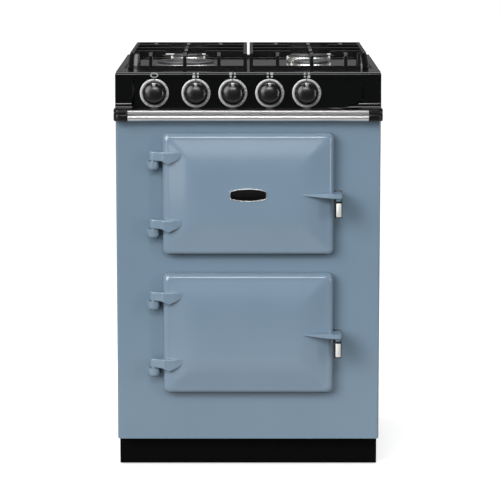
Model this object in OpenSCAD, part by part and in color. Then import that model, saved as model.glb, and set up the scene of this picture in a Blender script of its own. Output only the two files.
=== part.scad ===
// Two-oven cast range cooker with a four-burner gas hob.
// X runs to the right, Y to the back and Z up. The origin is on the floor under the casing's middle.
// Many shapes are given by u, the distance in front of the front plate's face.

/* [Casing] */
// Width of the enamelled casing
body_w = 598; // [590:1:640]
// Depth of the casing
body_d = 568; // [560:1:600]
// Height of the casing's lower edge above the floor
casing_z = 68; // [62:1:90]
// Height of the enamel between the upper door and the rail
door_top = 26.5; // [24:0.5:40]
// Width of the enamel beside each door
door_side = 106; // [98:1:108]
// Thickness of the cast front plate
front_t = 8; // [6:0.5:10]
// Rounding of the front plate's upright edges
front_r = 5; // [2:0.5:6]
// Thickness of the sheet steel
sheet_t = 1.2; // [0.8:0.1:2]
// Depth of the service recess behind the back panel
service_d = 22; // [20:1:30]
// How far the plinth lies behind the front
plinth_recess = 38; // [20:1:50]
// Height of the frame channels that carry the feet
channel_h = 26; // [22:1:30]
// Diameter of a levelling foot's pad
foot_pad_d = 40; // [30:1:50]
// Diameter of a levelling foot's threaded stem
foot_stem_d = 10; // [8:1:12]

/* [Ovens] */
// How far a door overlaps its oven's mouth at each side
mouth_side = 18; // [16:0.5:24]
// How far a door overlaps its oven's mouth above and below
mouth_over = 14.5; // [13.5:0.5:20]
// Inner depth of an oven
cavity_d = 420; // [400:1:430]
// Wall of the cast oven liner
liner_t = 6; // [4:0.5:8]
// Rounding of the oven's long corners
cavity_r = 20; // [12:1:26]
// Number of shelf positions
shelf_levels = 4; // [3:1:5]
// Height of the first shelf runner above the oven floor
runner_z = 40; // [34:1:50]
// Height between two shelf runners
runner_step = 46; // [40:1:48]
// Wire of the shelf's frame
shelf_wire = 6; // [5:0.5:7]
// Tube of the heating elements
element_d = 8; // [6.5:0.5:9]

/* [Doors] */
// Height of a door
door_h = 277; // [272:1:284]
// Height of the lower door above the casing's lower edge
door_low = 111.5; // [100:0.5:115]
// Gap between the two doors
door_gap = 42; // [36:1:46]
// Reach of the door's middle in front of the plate
door_out = 42; // [39:1:46]
// Reach of the door's rim in front of the plate
rim_out = 31; // [28:1:33]
// Distance from the door's edge to its flat middle
bevel_w = 90; // [76:1:100]
// Distance from the door's edge at which its slope begins to fade
slope_w = 42; // [30:1:50]
// Rounding of the door's outline
door_r = 13; // [10:1:18]
// Rounding of the door's front edge
door_edge = 8; // [5:1:10]
// Thickness of the door rope seal
seal_t = 8; // [7:0.5:9]

/* [Hinges and catches] */
// Diameter of a hinge pin
pin_d = 10; // [8:0.5:12]
// Diameter of a hinge socket
knuckle_d = 26; // [22:1:27]
// Diameter of a hinge arm's round end
arm_end_d = 17; // [15:0.5:22]
// Distance of the pin from the door's edge
hinge_side = 21; // [20:0.5:24]
// Reach of the pin in front of the plate
hinge_out = 23; // [20:0.5:25]
// Height of a hinge arm
arm_h = 21; // [18:1:28]
// How far a hinge arm's web drops over the door's face
arm_drop = 8; // [4:0.5:9]
// Height of a hinge socket
socket_h = 21; // [18:1:26]
// Length of a hinge arm over the door's face
arm_reach = 44; // [36:1:50]
// Distance of the top hinge arm from the door's upper edge
hinge_top = 52; // [46:1:70]
// Distance of the low hinge arm from the door's lower edge
hinge_low = 71; // [60:1:78]
// Reach of the catch arm in front of the plate
catch_out = 66; // [62:1:72]
// Length of the catch arm over the door's face
catch_reach = 69; // [60:1:76]
// How far the catch arm stands out beyond the door's edge
catch_over = 18; // [17:1:20]
// Thickness of the catch arm where it passes the door's edge
catch_t = 12; // [9:0.5:13]
// Height of the grip
grip_h = 37; // [30:1:42]
// Width of the badge plate
badge_w = 83; // [60:1:95]
// Height of the badge plate
badge_h = 29; // [24:1:36]

/* [Rail and fascia] */
// Height of the trim rail
rail_h = 26; // [22:1:30]
// Reach of the trim rail in front of the plate
rail_out = 35; // [30:1:40]
// Length of each rail cap along the front
cap_len = 29; // [24:1:36]
// How far a rail cap stands out at the side
cap_over = 3; // [2:0.5:5]
// Height of the fascia between the rail and the hob's top
fascia_h = 82; // [81:0.5:90]
// Lean of the fascia from the vertical
fascia_tilt = 4; // [0:0.5:6]
// Rounding of the fascia's top edge
fascia_r = 6; // [4:0.5:8]
// Radius of the cove at the foot of each fascia pillar
cove_r = 14; // [8:1:16]
// Depth of the pressed recess behind the knobs
recess_d = 8; // [5:0.5:9]
// Thickness of the fascia
fascia_t = 3; // [2:0.5:4]

/* [Knobs] */
// Diameter of a knob
knob_d = 49; // [44:1:50]
// Length of a knob
knob_len = 22; // [18:1:26]
// Outer diameter of a dial ring
ring_d = 65.5; // [62:0.5:65.5]
// Inner diameter of a dial ring
ring_in = 52; // [52:0.5:54]
// Travel of a burner knob when pressed
push = 4; // [2:0.5:4]
// Distance of the oven knob from the casing's left side
oven_knob_side = 88; // [84:1:91]
// Distance of the first burner knob from the casing's left side
first_knob_side = 181.5; // [177:0.5:187]
// Distance between burner knobs
knob_pitch = 83; // [80:0.5:84]
// Diameter of a control spindle
spindle_d = 8; // [6:0.5:8]

/* [Hob] */
// Thickness of the hob plate
hob_t = 1.5; // [1.2:0.1:2]
// Drop of the sunken deck below the hob's rim
deck_drop = 5.5; // [4:0.5:8]
// Depth of the flat margin in front of the deck
front_margin = 94; // [88:1:98]
// Distance of the burners from the middle
burner_x = 145; // [142:1:147]
// Distance of the front burners behind the front plate
burner_front = 191; // [188:1:196]
// Distance of the rear burners behind the front plate
burner_back = 414; // [410:1:420]
// Cap of the large front left burner
large_d = 133; // [128:1:134]
// Cap of the front right burner
medium_d = 80; // [76:1:84]
// Cap of the rear left burner
small_d = 68; // [64:1:72]
// Cap of the rear right burner
rapid_d = 91; // [86:1:94]
// How far a burner crown's foot stands out around its cap
crown_flare = 10; // [8:0.5:11]
// Height of a burner crown above the deck
crown_h = 13; // [11:0.5:14]
// Thickness of a burner cap
cap_t = 8; // [6:0.5:9]

/* [Pan supports] */
// Height of the pan supports above the hob's rim
support_up = 35; // [32:1:38]
// Width of the pan supports' bars
bar_w = 8; // [6:0.5:9]
// Height of the pan supports' upper bars
bar_h = 14; // [11:0.5:16]
// Gap between the pan supports and the deck's sides
support_side = 7; // [5:1:10]
// Length of the pan supports from front to back
support_len = 392; // [388:1:396]
// Radius left free of fingers around each burner's middle
finger_free = 44; // [40:1:48]
// Distance between two of the front fingers
finger_pitch = 78; // [74:1:84]

/* [Hidden] */
$fn = 48;

enamel = "#7c93a5";
black = "#17181a";
iron = "#232427";
steel = "#b9bcc0";
zinc = "#9aa0a4";
bright = "#d7d9da";
brass = "#b89a5a";

slack = 0.3;
fit = 0.05;
eps = 0.01;

front_y = -body_d / 2;
door_w = body_w - 2 * door_side;
cavity_w = door_w - 2 * mouth_side;
cavity_h = door_h - 2 * mouth_over;
front_h = door_low + 2 * door_h + door_gap + door_top;
inner_half = body_w / 2 - sheet_t;
back_u = -(body_d - service_d);
rail_z = casing_z + front_h;
rail_top = rail_z + rail_h;
hob_z = rail_top + fascia_h;
deck_z = hob_z - deck_drop;
deck_under = deck_z - hob_t;
tray_t = 2;
lift = [0, 1];

function door_z(i) = casing_z + door_low + i * (door_h + door_gap);
function door_mid(i) = door_z(i) + door_h / 2;

// Front-view outline of a rectangle with round corners, as x and z points around (0, mid)
function rounded(w, h, r, mid = 0, n = 6) = [for (c = [0 : 3], i = [0 : n])
    let (a = 90 * c + 90 * i / n, sx = (c == 0 || c == 3) ? 1 : -1, sz = c < 2 ? 1 : -1)
    [sx * (w / 2 - r) + r * cos(a), mid + sz * (h / 2 - r) + r * sin(a)]];

function arc(cx, cy, r, a0, a1, n = 8) = [for (i = [0 : n])
    let (a = a0 + (a1 - a0) * i / n) [cx + r * cos(a), cy + r * sin(a)]];

// A block from x0 to x1, from u0 to u1 in front of the plate, and from z0 to z1
module block(x0, x1, u0, u1, z0, z1)
    translate([x0, front_y - u1, z0]) cube([x1 - x0, u1 - u0, z1 - z0]);

function last(list) = list[len(list) - 1];

// Front view of a band from z0 to z1 whose upper corners are round
function round_top(half, z0, z1, r) = concat([[-half, z0], [half, z0]],
    arc(half - r, z1 - r, r, 0, 90, 5), arc(-half + r, z1 - r, r, 90, 180, 5));

// A front-view outline with some thickness
module upright(points, u0, u1)
    translate([0, front_y - u0, 0]) rotate([90, 0, 0]) linear_extrude(u1 - u0) polygon(points);

// A side-view outline of u and z points, from x0 to x1
module profile(points, x0, x1)
    translate([x0, 0, 0]) rotate([90, 0, 90]) linear_extrude(x1 - x0)
        polygon([for (p = points) [front_y - p[0], p[1]]]);

// A plan outline of x and u points, from z0 to z1
module plan(points, z0, z1)
    translate([0, 0, z0]) linear_extrude(z1 - z0) polygon([for (p = points) [p[0], front_y - p[1]]]);

module on_side(side) if (side < 0) mirror([1, 0, 0]) children(); else children();

module rod(x, u, z0, z1, d) translate([x, front_y - u, z0]) cylinder(h = z1 - z0, d = d);
module rod_y(x, z, u0, u1, d) translate([x, front_y - u0, z]) rotate([90, 0, 0]) cylinder(h = u1 - u0, d = d);
module rod_x(u, z, x0, x1, d) translate([x0, front_y - u, z]) rotate([0, 90, 0]) cylinder(h = x1 - x0, d = d);

// Base, feet and plinth
foot_in = 45;
foot_x = body_w / 2 - foot_in;
foot_us = [-(plinth_recess + foot_in), back_u + foot_in + 15];
channel_w = 36;
channel_t = 2.5;
channel_end = foot_x + 24;
nut_d = 22;

module base_frame() color(zinc) difference() {
    union() {
        block(-inner_half, inner_half, back_u + sheet_t, -front_t, casing_z, casing_z + tray_t);
        for (u = foot_us) difference() {
            block(-channel_end, channel_end, u - channel_w / 2, u + channel_w / 2,
                casing_z - channel_h, casing_z);
            block(-channel_end - 1, channel_end + 1, u - channel_w / 2 + channel_t,
                u + channel_w / 2 - channel_t, casing_z - channel_h - 1, casing_z - channel_t);
        }
        for (u = foot_us, x = [-foot_x, foot_x]) rod(x, u, casing_z - channel_h + 2, casing_z, nut_d);
    }
    for (u = foot_us, x = [-foot_x, foot_x])
        rod(x, u, casing_z - channel_h - 1, casing_z - 3, foot_stem_d);
}

pad_t = foot_pad_d / 8;

module levelling_feet() color(black) for (u = foot_us, x = [-foot_x, foot_x]) {
    rod(x, u, 0, pad_t, foot_pad_d);
    rod(x, u, pad_t, pad_t + 4, foot_pad_d * 0.6);
    rod(x, u, pad_t + 4, casing_z - 4, foot_stem_d - 2 * fit);
}

plinth_half = body_w / 2 - 3;
plinth_back = -plinth_recess - 2 * foot_in;
plinth_low = 2.5;
strip_t = 1.5;

module plinth() color(black) {
    difference() {
        block(-plinth_half, plinth_half, plinth_back, -plinth_recess, plinth_low, casing_z);
        block(-plinth_half + sheet_t, plinth_half - sheet_t, plinth_back - 1,
            -plinth_recess - sheet_t, 2, casing_z - sheet_t);
        block(-plinth_half + sheet_t, plinth_half - sheet_t, plinth_back - 1,
            -plinth_recess - 20, 2, casing_z + 1);
    }
    block(-plinth_half, plinth_half, -plinth_recess - eps, -plinth_recess + strip_t,
        casing_z - 8, casing_z - 1);
}

// Casing
side_flange = 20;

module side_panel(side) color(enamel) on_side(side) {
    block(inner_half, body_w / 2, -body_d, -front_t, casing_z, rail_top);
    block(inner_half - side_flange, inner_half + eps, -body_d, -body_d + sheet_t, casing_z, rail_top);
    block(inner_half - side_flange, inner_half + eps, -front_t - sheet_t, -front_t,
        casing_z + tray_t, rail_top);
}

module front_casting() color(enamel) difference() {
    intersection() {
        plan(concat([[-body_w / 2, -front_t]], arc(-body_w / 2 + front_r, -front_r, front_r, 180, 90),
            arc(body_w / 2 - front_r, -front_r, front_r, 90, 0), [[body_w / 2, -front_t]]),
            casing_z, rail_top);
        upright(concat([[-body_w / 2, rail_top]],
            arc(-body_w / 2 + front_r, casing_z + front_r, front_r, 180, 270),
            arc(body_w / 2 - front_r, casing_z + front_r, front_r, 270, 360),
            [[body_w / 2, rail_top]]), -front_t, 0);
    }
    for (i = lift) upright(rounded(cavity_w, cavity_h, cavity_r, door_mid(i)), -front_t - 1, 1);
}

vent_n = 14;
vent_w = 8;
vent_h = 38;
vent_pitch = 26;
inlet_in = 40;
inlet_x = body_w / 2 - inlet_in;
gland_d = 20;
gland_x = -body_w / 2 + 90;
gland_z = casing_z + 100;
box_half = 50;
box_below = 30;
box_above = 60;
box_wall = 3;
box_floor = 16;

module back_panel() color(zinc) difference() {
    union() {
        block(-inner_half, inner_half, back_u, back_u + sheet_t, casing_z, rail_top);
        block(-hob_inner + slack, hob_inner - slack, back_u, back_u + sheet_t,
            rail_top - eps, rail_top + vent_h + 2);
    }
    for (i = [0 : vent_n - 1], z = [rail_top - vent_h - 22, rail_top + 5])
        translate([(i - (vent_n - 1) / 2) * vent_pitch - inlet_in + 10, 0, 0])
            upright(rounded(vent_w, vent_h, vent_w / 2 - 0.1, z, 4), back_u - 1, back_u + sheet_t + 1);
    rod_y(inlet_x, manifold_z, back_u - 1, back_u + sheet_t + 1, pipe_d + 2 * slack);
    rod_y(gland_x, gland_z, back_u - 1, back_u + sheet_t + 1, gland_d);
}

module terminal_box() color(black) difference() {
    box_back = back_u - service_d + 2;
    block(gland_x - box_half, gland_x + box_half, box_back, back_u, gland_z - box_below, gland_z + box_above);
    block(gland_x - box_half + box_wall, gland_x + box_half - box_wall, box_back + box_wall, back_u + 1,
        gland_z - box_below + box_floor, gland_z + box_above - box_wall);
    rod(gland_x, back_u - service_d / 2 + 1, gland_z - box_below - 1, gland_z - box_below + box_floor + 1,
        gland_d / 2 + 2);
}

// Trim rail: a large lower bead and a small upper bead, as u and z points
bead_low = rail_h * 0.32;
bead_top = rail_h * 0.17;
rail_half = body_w / 2 - cap_len;
cap_end = body_w / 2 + cap_over;
cap_round = 12;
ledge_u = rail_out - 2;
lip_h = 1.2;

function rail_points(back = 0) = concat([[back, rail_z]],
    arc(rail_out - bead_low, rail_z + bead_low, bead_low, -90, 70, 8),
    arc(rail_out - bead_top - 1, rail_top - bead_top, bead_top, -60, 90, 6), [[back, rail_top]]);

module trim_rail() color(steel) profile(rail_points(), -rail_half, rail_half);

module rail_caps() color(black) for (side = [-1, 1]) on_side(side) {
    intersection() {
        profile(rail_points(), rail_half, cap_end);
        plan(concat([[rail_half, 0], [rail_half, rail_out + 1]],
            arc(cap_end - cap_round, rail_out - cap_round, cap_round, 90, 0), [[cap_end, 0]]),
            rail_z, rail_top);
    }
    block(body_w / 2, cap_end, -14, eps, rail_z, rail_top);
}

// Fascia: two pillars with a cove at the foot, and a pressed recess between them
function face_u(z) = 6 - (z - rail_top - 20) * tan(fascia_tilt);
function floor_u(z) = face_u(z) - recess_d / cos(fascia_tilt);
top_flange = 16;
ledge_z = rail_top + lip_h;
cove_z = ledge_z + cove_r;
recess_top = hob_z - 13;
pillar_w = 46;
pillar_r = 5;
recess_half = body_w / 2 - pillar_w;
recess_slope = 10;
corner_z = 24;
corner_r_left = 12;

// Front view of the recess, with a long low corner on the right
function recess_outline(grow) =
    let (half = recess_half + grow, z0 = ledge_z - grow / 5, up = recess_top + grow / 8)
    concat([for (i = [0 : 10]) let (a = 90 * i / 10)
            [half - corner_x + corner_x * sin(a), z0 + corner_z * (1 - cos(a))]],
        arc(half - 5, up - 5, 5, 0, 90, 4), arc(-half + 5, up - 5, 5, 90, 180, 4),
        arc(-half + corner_r_left, z0 + corner_r_left, corner_r_left, 180, 270, 5));

module fascia() color(black) difference() {
    intersection() {
        profile(concat([[-top_flange, rail_top], [ledge_u, rail_top], [ledge_u, ledge_z]],
            arc(face_u(cove_z) + cove_r, cove_z, cove_r, 270, 180),
            arc(face_u(hob_z - fascia_r) - fascia_r, hob_z - fascia_r, fascia_r, 0, 90, 6),
            [[-top_flange, hob_z]]), -body_w / 2, body_w / 2);
        upright(round_top(body_w / 2, rail_top, hob_z, pillar_r), -top_flange, ledge_u);
    }
    intersection() {
        profile([[floor_u(ledge_z), ledge_z], [floor_u(recess_top + 1), recess_top + 1],
            [rail_out + 9, recess_top + 5], [rail_out + 9, ledge_z]], -body_w / 2, body_w / 2);
        union() {
            hull() {
                upright(recess_outline(-recess_slope / 2), -12, -11.9);
                upright(recess_outline(recess_slope), 8, 8.1);
            }
            upright(recess_outline(recess_slope), 8, rail_out + 8);
        }
    }
    profile([[-top_flange - 1, rail_top - 1], [floor_u(rail_top - 1) - fascia_t, rail_top - 1],
        [floor_u(hob_z - fascia_t) - fascia_t, hob_z - fascia_t], [-top_flange - 1, hob_z - fascia_t]],
        -body_w / 2 + 4, body_w / 2 - 4);
    for (x = knob_xs) on_panel(x) translate([0, 0, -20]) cylinder(h = 40, d = spindle_d + 4);
}

// Controls: Z of the local frame leaves the fascia's recess towards the cook
knob_z = ledge_z + ring_d / 2 + 0.5;
oven_knob_x = -body_w / 2 + oven_knob_side;
knob_xs = concat([oven_knob_x], [for (i = [0 : 3]) -body_w / 2 + first_knob_side + i * knob_pitch]);
corner_x = recess_half - last(knob_xs) - 17.5;

module on_panel(x) translate([x, front_y - floor_u(knob_z), knob_z]) rotate([90 - fascia_tilt, 0, 0])
    children();

ring_t = 2.6;
ring_edge = 0.6;

module dial_rings() color(bright) for (x = knob_xs) on_panel(x) rotate_extrude()
    polygon([[ring_in / 2, 0], [ring_d / 2, 0], [ring_d / 2, ring_t - ring_edge],
        [ring_d / 2 - ring_edge, ring_t], [ring_in / 2 + ring_edge, ring_t],
        [ring_in / 2, ring_t - ring_edge]]);

knob_gap = push + 1;
bore_depth = 14;
pointer_w = 7;
pointer_len = 8;
dome = 4;
dome_r = knob_d / 2 - 1.5;
spindle_back = -22;
tang_len = 6;
tang_t = 2.5;

module knob(x) color(black) on_panel(x) difference() {
    union() {
        rotate_extrude() polygon(concat([[0, knob_gap], [knob_d / 2 - 1, knob_gap],
            [knob_d / 2, knob_gap + 1], [knob_d / 2 - 0.4, knob_gap + knob_len - dome - 2]],
            [for (k = [0 : 8]) let (part = 1 - k / 8)
                [dome_r * part, knob_gap + knob_len - dome * part * part]]));
        translate([-pointer_w / 2, knob_d / 2 - pointer_len - 1.5, knob_gap + knob_len - dome - 2])
            cube([pointer_w, pointer_len, dome]);
    }
    translate([0, 0, knob_gap - 1]) cylinder(h = bore_depth + 1, d = spindle_d + 2 * fit);
}

// Round shaft with a flat, and a tang at its inner end
module spindle(x) color(steel) on_panel(x) {
    difference() {
        translate([0, 0, spindle_back]) cylinder(h = knob_gap + bore_depth - 1 - spindle_back, d = spindle_d);
        translate([spindle_d / 2 - 1.2, -spindle_d, knob_gap + 1]) cube([spindle_d, 2 * spindle_d, 30]);
    }
    translate([-spindle_d / 2 + 1, -tang_t / 2, spindle_back - tang_len])
        cube([spindle_d - 2, tang_t, tang_len + eps]);
}

panel_t = fascia_t * cos(fascia_tilt);
tap_d = 24;
tap_len = 46;
plug_d = 14;
plug_front = spindle_back - push - 0.4;
plug_len = 18;
manifold_d = 18;
pipe_d = 15;
feed_d = 8;
manifold_n = -34;
manifold_drop = 22.5;
tap_block = manifold_d;
tap_back = panel_t + tap_len;
outlet_n = tap_back - 9;
feed_z = knob_z + 14;

// A point of a control's own frame, in the cooker's frame
function panel_u(up, out) = floor_u(knob_z) - up * sin(fascia_tilt) + out * cos(fascia_tilt);
function panel_z(up, out) = knob_z + up * cos(fascia_tilt) + out * sin(fascia_tilt);

manifold_u = panel_u(-manifold_drop, manifold_n);
manifold_z = panel_z(-manifold_drop, manifold_n);
outlet_u = panel_u(0, -outlet_n);
tap_xs = [for (i = [1 : 4]) knob_xs[i]];

module gas_taps() color(brass) for (x = tap_xs) difference() {
    union() {
        on_panel(x) translate([0, 0, -tap_back]) cylinder(h = tap_len, d = tap_d);
        on_panel(x) translate([-tap_block / 2, -manifold_drop + 3, manifold_n - tap_block / 2])
            cube([tap_block, manifold_drop - 5, tap_block]);
        rod(x, outlet_u, knob_z - 4, feed_z + 7, 13);
    }
    on_panel(x) translate([0, 0, spindle_back - 4]) cylinder(h = 60, d = spindle_d + 2 * fit);
    on_panel(x) translate([0, 0, plug_front - plug_len - fit])
        cylinder(h = plug_len + push + 1 + fit, d = plug_d + 2 * fit);
    on_panel(x) translate([-tap_d, -manifold_drop, manifold_n]) rotate([0, 90, 0])
        cylinder(h = 2 * tap_d, d = manifold_d + 2 * fit);
    rod_y(x, feed_z, outlet_u - 20, outlet_u, feed_d + 2 * fit);
}

module tap_plug(x) color(steel) on_panel(x) difference() {
    translate([0, 0, plug_front - plug_len]) cylinder(h = plug_len, d = plug_d);
    translate([-spindle_d / 2, -tang_t / 2 - fit, plug_front - push - tang_len])
        cube([spindle_d, tang_t + 2 * fit, push + tang_len + 1]);
}

module gas_manifold() color(steel) difference() {
    union() {
        rod_x(manifold_u, manifold_z, tap_xs[0] - tap_d, inlet_x, manifold_d);
        translate([inlet_x, front_y - manifold_u, manifold_z]) sphere(d = manifold_d + 1);
        rod_y(inlet_x, manifold_z, back_u - service_d + 2, manifold_u, pipe_d);
        rod_y(inlet_x, manifold_z, back_u - service_d + 2, back_u - 4, 20.9);
    }
    rod_x(manifold_u, manifold_z, tap_xs[0] - tap_d + 3, inlet_x, manifold_d - 4);
    rod_y(inlet_x, manifold_z, back_u - service_d + 1, manifold_u, pipe_d - 4);
}

// Burners: middle, depth, cap diameter
burners = [[-burner_x, burner_front, large_d], [-burner_x, burner_back, small_d],
    [burner_x, burner_back, rapid_d], [burner_x, burner_front, medium_d]];
neck_d = 46;
neck_h = 16;
cup_h = 34;
cup_d = 58;
cap_z = deck_z + crown_h;
ring_gap = 94;
port_n = 24;

// A feed pipe runs back from its tap, crosses to its burner's line and enters the injector cup
module feed_pipe(x, b) {
    turn_u = -(b[1] - 60);
    rod_y(x, feed_z, turn_u, outlet_u - 0.5, feed_d);
    translate([x, front_y - turn_u, feed_z]) sphere(d = feed_d);
    rod_x(turn_u, feed_z, min(x, b[0]), max(x, b[0]), feed_d);
    translate([b[0], front_y - turn_u, feed_z]) sphere(d = feed_d);
    rod_y(b[0], feed_z, -b[1] + cup_d / 2 - 7, turn_u, feed_d);
}

module feed_pipes() color(steel) for (i = [0 : 3]) feed_pipe(tap_xs[i], burners[i]);

module injector_cups() color(zinc) for (b = burners) difference() {
    union() {
        rod(b[0], -b[1], deck_under - 3, deck_under, cup_d + 12);
        rod(b[0], -b[1], deck_under - cup_h, deck_under - 2.9, cup_d);
    }
    rod(b[0], -b[1], deck_under - cup_h + 3, deck_under + 1, neck_d + 2 * slack);
    rod_y(b[0], feed_z, -b[1], -b[1] + cup_d, feed_d + 2 * fit);
}

module crown(b) translate([b[0], front_y + b[1], 0]) difference() {
    rotate_extrude() polygon([[neck_d / 2 - 3, deck_under - neck_h], [neck_d / 2, deck_under - neck_h],
        [neck_d / 2, deck_z], [b[2] / 2 + crown_flare, deck_z], [b[2] / 2 + crown_flare - 1, deck_z + 2.5],
        [b[2] / 2 - 1, cap_z - 4], [b[2] / 2 - 3, cap_z], [b[2] / 2 - 9, cap_z],
        [b[2] / 2 - 9, deck_z + 4], [neck_d / 2 - 3, deck_z + 3]]);
    for (i = [0 : port_n - 1]) rotate([0, 0, 360 * (i + 0.5) / port_n])
        translate([b[2] / 2 - 12, -0.9, cap_z - 4]) cube([14, 1.8, 5]);
    for (side = [-1, 1]) translate([side * electrode_r(b), 0, deck_z - 1]) cylinder(h = crown_h, d = 6.6);
}

// The large burner has a second, inner crown; its electrodes stand between the two
function is_large(b) = b[2] > 110;
function electrode_r(b) = is_large(b) ? 39 : b[2] / 2 + 4.6;
inner_cap = 60;

module burner_crowns() color(bright) for (b = burners) {
    crown(b);
    if (is_large(b)) translate([b[0], front_y + b[1], 0]) difference() {
        rotate_extrude() polygon([[inner_cap / 2 - 9, deck_z + 2], [inner_cap / 2 - 1, deck_z + 2],
            [inner_cap / 2 - 1, cap_z], [inner_cap / 2 - 9, cap_z]]);
        for (i = [0 : 11]) rotate([0, 0, 30 * i]) translate([inner_cap / 2 - 12, -0.9, cap_z - 4])
            cube([14, 1.8, 5]);
    }
}

module burner_caps() color(black) for (b = burners) translate([b[0], front_y + b[1], cap_z]) {
    r = b[2] / 2;
    if (is_large(b)) {
        rotate_extrude() polygon([[ring_gap / 2, 0], [r - 1, 0], [r, 1], [r, 3.5], [r - 3, 5.5],
            [ring_gap / 2 + 4, 6], [ring_gap / 2, 4]]);
        rotate_extrude() polygon([[0, 0], [inner_cap / 2, 0], [inner_cap / 2, 3.5],
            [inner_cap / 2 - 3, 6], [0, cap_t]]);
    } else rotate_extrude()
        polygon([[0, 0], [r - 1, 0], [r, 1], [r, 4], [r - 1.5, 5.6], [r - 6, 7],
            [r * 0.5, cap_t], [0, cap_t]]);
}

module burner_electrodes() color("white") for (b = burners, side = [-1, 1])
    translate([b[0] + side * electrode_r(b), front_y + b[1], 0]) {
        translate([0, 0, deck_z + slack]) cylinder(h = crown_h - 2, d = 5.5);
        translate([0, 0, deck_z + crown_h - 2]) cylinder(h = side < 0 ? 4 : 2, d = side < 0 ? 2 : 4);
    }

hob_half = body_w / 2 - 1;
hob_inner = hob_half - hob_t;
deck_half = body_w / 2 - 15;
deck_back = -(body_d - 36);
hob_front = -top_flange - slack;

module hob_plate() color(black) difference() {
    union() {
        block(-hob_half, hob_half, -body_d, hob_front, hob_z - hob_t, hob_z);
        for (side = [-1, 1]) on_side(side)
            block(hob_inner, hob_half, -body_d, hob_front, rail_top, hob_z - hob_t + eps);
        block(-hob_half, hob_half, -body_d, -body_d + hob_t, rail_top + 46, hob_z - hob_t + eps);
        deck(deck_half + hob_t, hob_t, deck_under, hob_z - hob_t + eps);
    }
    deck(deck_half, 0, deck_z, hob_z + 1);
    for (b = burners) rod(b[0], -b[1], deck_under - 1, deck_z + 1, neck_d + 2 * slack);
}

// The sunken deck's outline, grown by some wall
module deck(half, wall, z0, z1)
    translate([0, front_y + (front_margin - deck_back) / 2, z0]) linear_extrude(z1 - z0)
        polygon(rounded(2 * half, -deck_back - front_margin + 2 * wall, 20 + wall));

// Ovens. Front-view outline of an oven's mouth, grown or shrunk all round
function mouth(i, grow, r) = rounded(cavity_w + 2 * grow, cavity_h + 2 * grow, r, door_mid(i));
function liner_outline(i, grow) = mouth(i, grow, cavity_r + grow);
liner_back = -front_t - cavity_d - liner_t;
flange_w = 14;

module oven_liner(i) color("#3a3c40") {
    difference() {
        union() {
            upright(liner_outline(i, liner_t), liner_back, -front_t);
            upright(liner_outline(i, liner_t + flange_w), -front_t - 4, -front_t);
        }
        upright(liner_outline(i, 0), liner_back + liner_t, 1);
    }
    for (k = [0 : shelf_levels - 1], side = [-1, 1]) on_side(side)
        block(cavity_w / 2 - 8, cavity_w / 2 + eps, liner_back + liner_t - eps, -front_t - 24,
            shelf_z(i, k) - 5, shelf_z(i, k));
}

// Height of a runner's top in oven i
function shelf_z(i, k) = door_mid(i) - cavity_h / 2 + runner_z + k * runner_step;
shelf_half = cavity_w / 2 - 2.5;
shelf_front = -front_t - 30;
shelf_back = shelf_front - cavity_d + 45;
shelf_bend = 16;
cross_n = 15;
cross_d = 3;

// A bent wire frame, a middle rod and the row of bars on top
module shelf(i) color(steel) translate([0, 0, shelf_z(i, 0) + shelf_wire / 2 + slack]) {
    side_x = shelf_half - shelf_wire / 2;
    u_front = shelf_front - shelf_wire / 2;
    u_back = shelf_back + shelf_wire / 2;
    for (side = [-1, 1]) rod_y(side * side_x, 0, u_back + shelf_bend, u_front - shelf_bend, shelf_wire);
    for (u = [u_front, u_back]) rod_x(u, 0, -side_x + shelf_bend, side_x - shelf_bend, shelf_wire);
    for (c = [0 : 3])
        let (sx = (c == 0 || c == 3) ? 1 : -1, u = c < 2 ? u_back + shelf_bend : u_front - shelf_bend)
            translate([sx * (side_x - shelf_bend), front_y - u, 0]) rotate([0, 0, 90 * c])
                rotate_extrude(angle = 90) translate([shelf_bend, 0]) circle(d = shelf_wire);
    rod_x((u_front + u_back) / 2, 0, -side_x, side_x, shelf_wire - 1);
    for (k = [1 : cross_n])
        rod_y((k / (cross_n + 1) - 0.5) * 2 * (shelf_half - 5), cross_d - 0.6, u_back, u_front, cross_d);
}

ins_gap = element_d + 2 * slack;
ins_top = rail_z - 8;

module insulation() color("#d8cfa8") difference() {
    block(-inner_half + slack, inner_half - slack, back_u + sheet_t + slack,
        -front_t - sheet_t - slack, casing_z + tray_t, ins_top);
    for (i = lift) {
        upright(liner_outline(i, liner_t + slack), liner_back - slack, 0);
        upright(liner_outline(i, liner_t + flange_w + slack), -front_t - 4 - slack, 0);
        block(-cavity_w / 2 + 30, cavity_w / 2 - 30, liner_back - 30, -front_t - 40,
            door_mid(i) - cavity_h / 2 - liner_t - ins_gap, door_mid(i) + cavity_h / 2 + liner_t + ins_gap);
    }
}

element_half = 110;
element_back = liner_back - 20;
bend_r = 30;

// A hairpin tube with round bends, its ends at the back
module element(z) translate([0, 0, z]) {
    front = -front_t - 60;
    for (side = [-1, 1]) {
        rod_y(side * element_half, 0, element_back, front - bend_r, element_d);
        translate([side * (element_half - bend_r), front_y - front + bend_r, 0])
            rotate([0, 0, side > 0 ? 270 : 180]) rotate_extrude(angle = 90)
                translate([bend_r, 0]) circle(d = element_d);
    }
    rod_x(front, 0, -element_half + bend_r, element_half - bend_r, element_d);
}

module heating_elements() color(zinc) {
    lie = cavity_h / 2 + liner_t + slack + element_d / 2;
    element(door_mid(1) + lie);
    element(door_mid(1) - lie);
    element(door_mid(0) - lie);
}

module oven_control() color("#e8e6df") on_panel(oven_knob_x) difference() {
    union() {
        translate([-21, -21, -panel_t - 34]) cube([42, 42, 30]);
        translate([0, 0, -panel_t - 5]) cylinder(h = 5, d = 16);
    }
    translate([0, 0, spindle_back - tang_len - 1]) cylinder(h = 60, d = spindle_d + 2 * fit);
}

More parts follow.
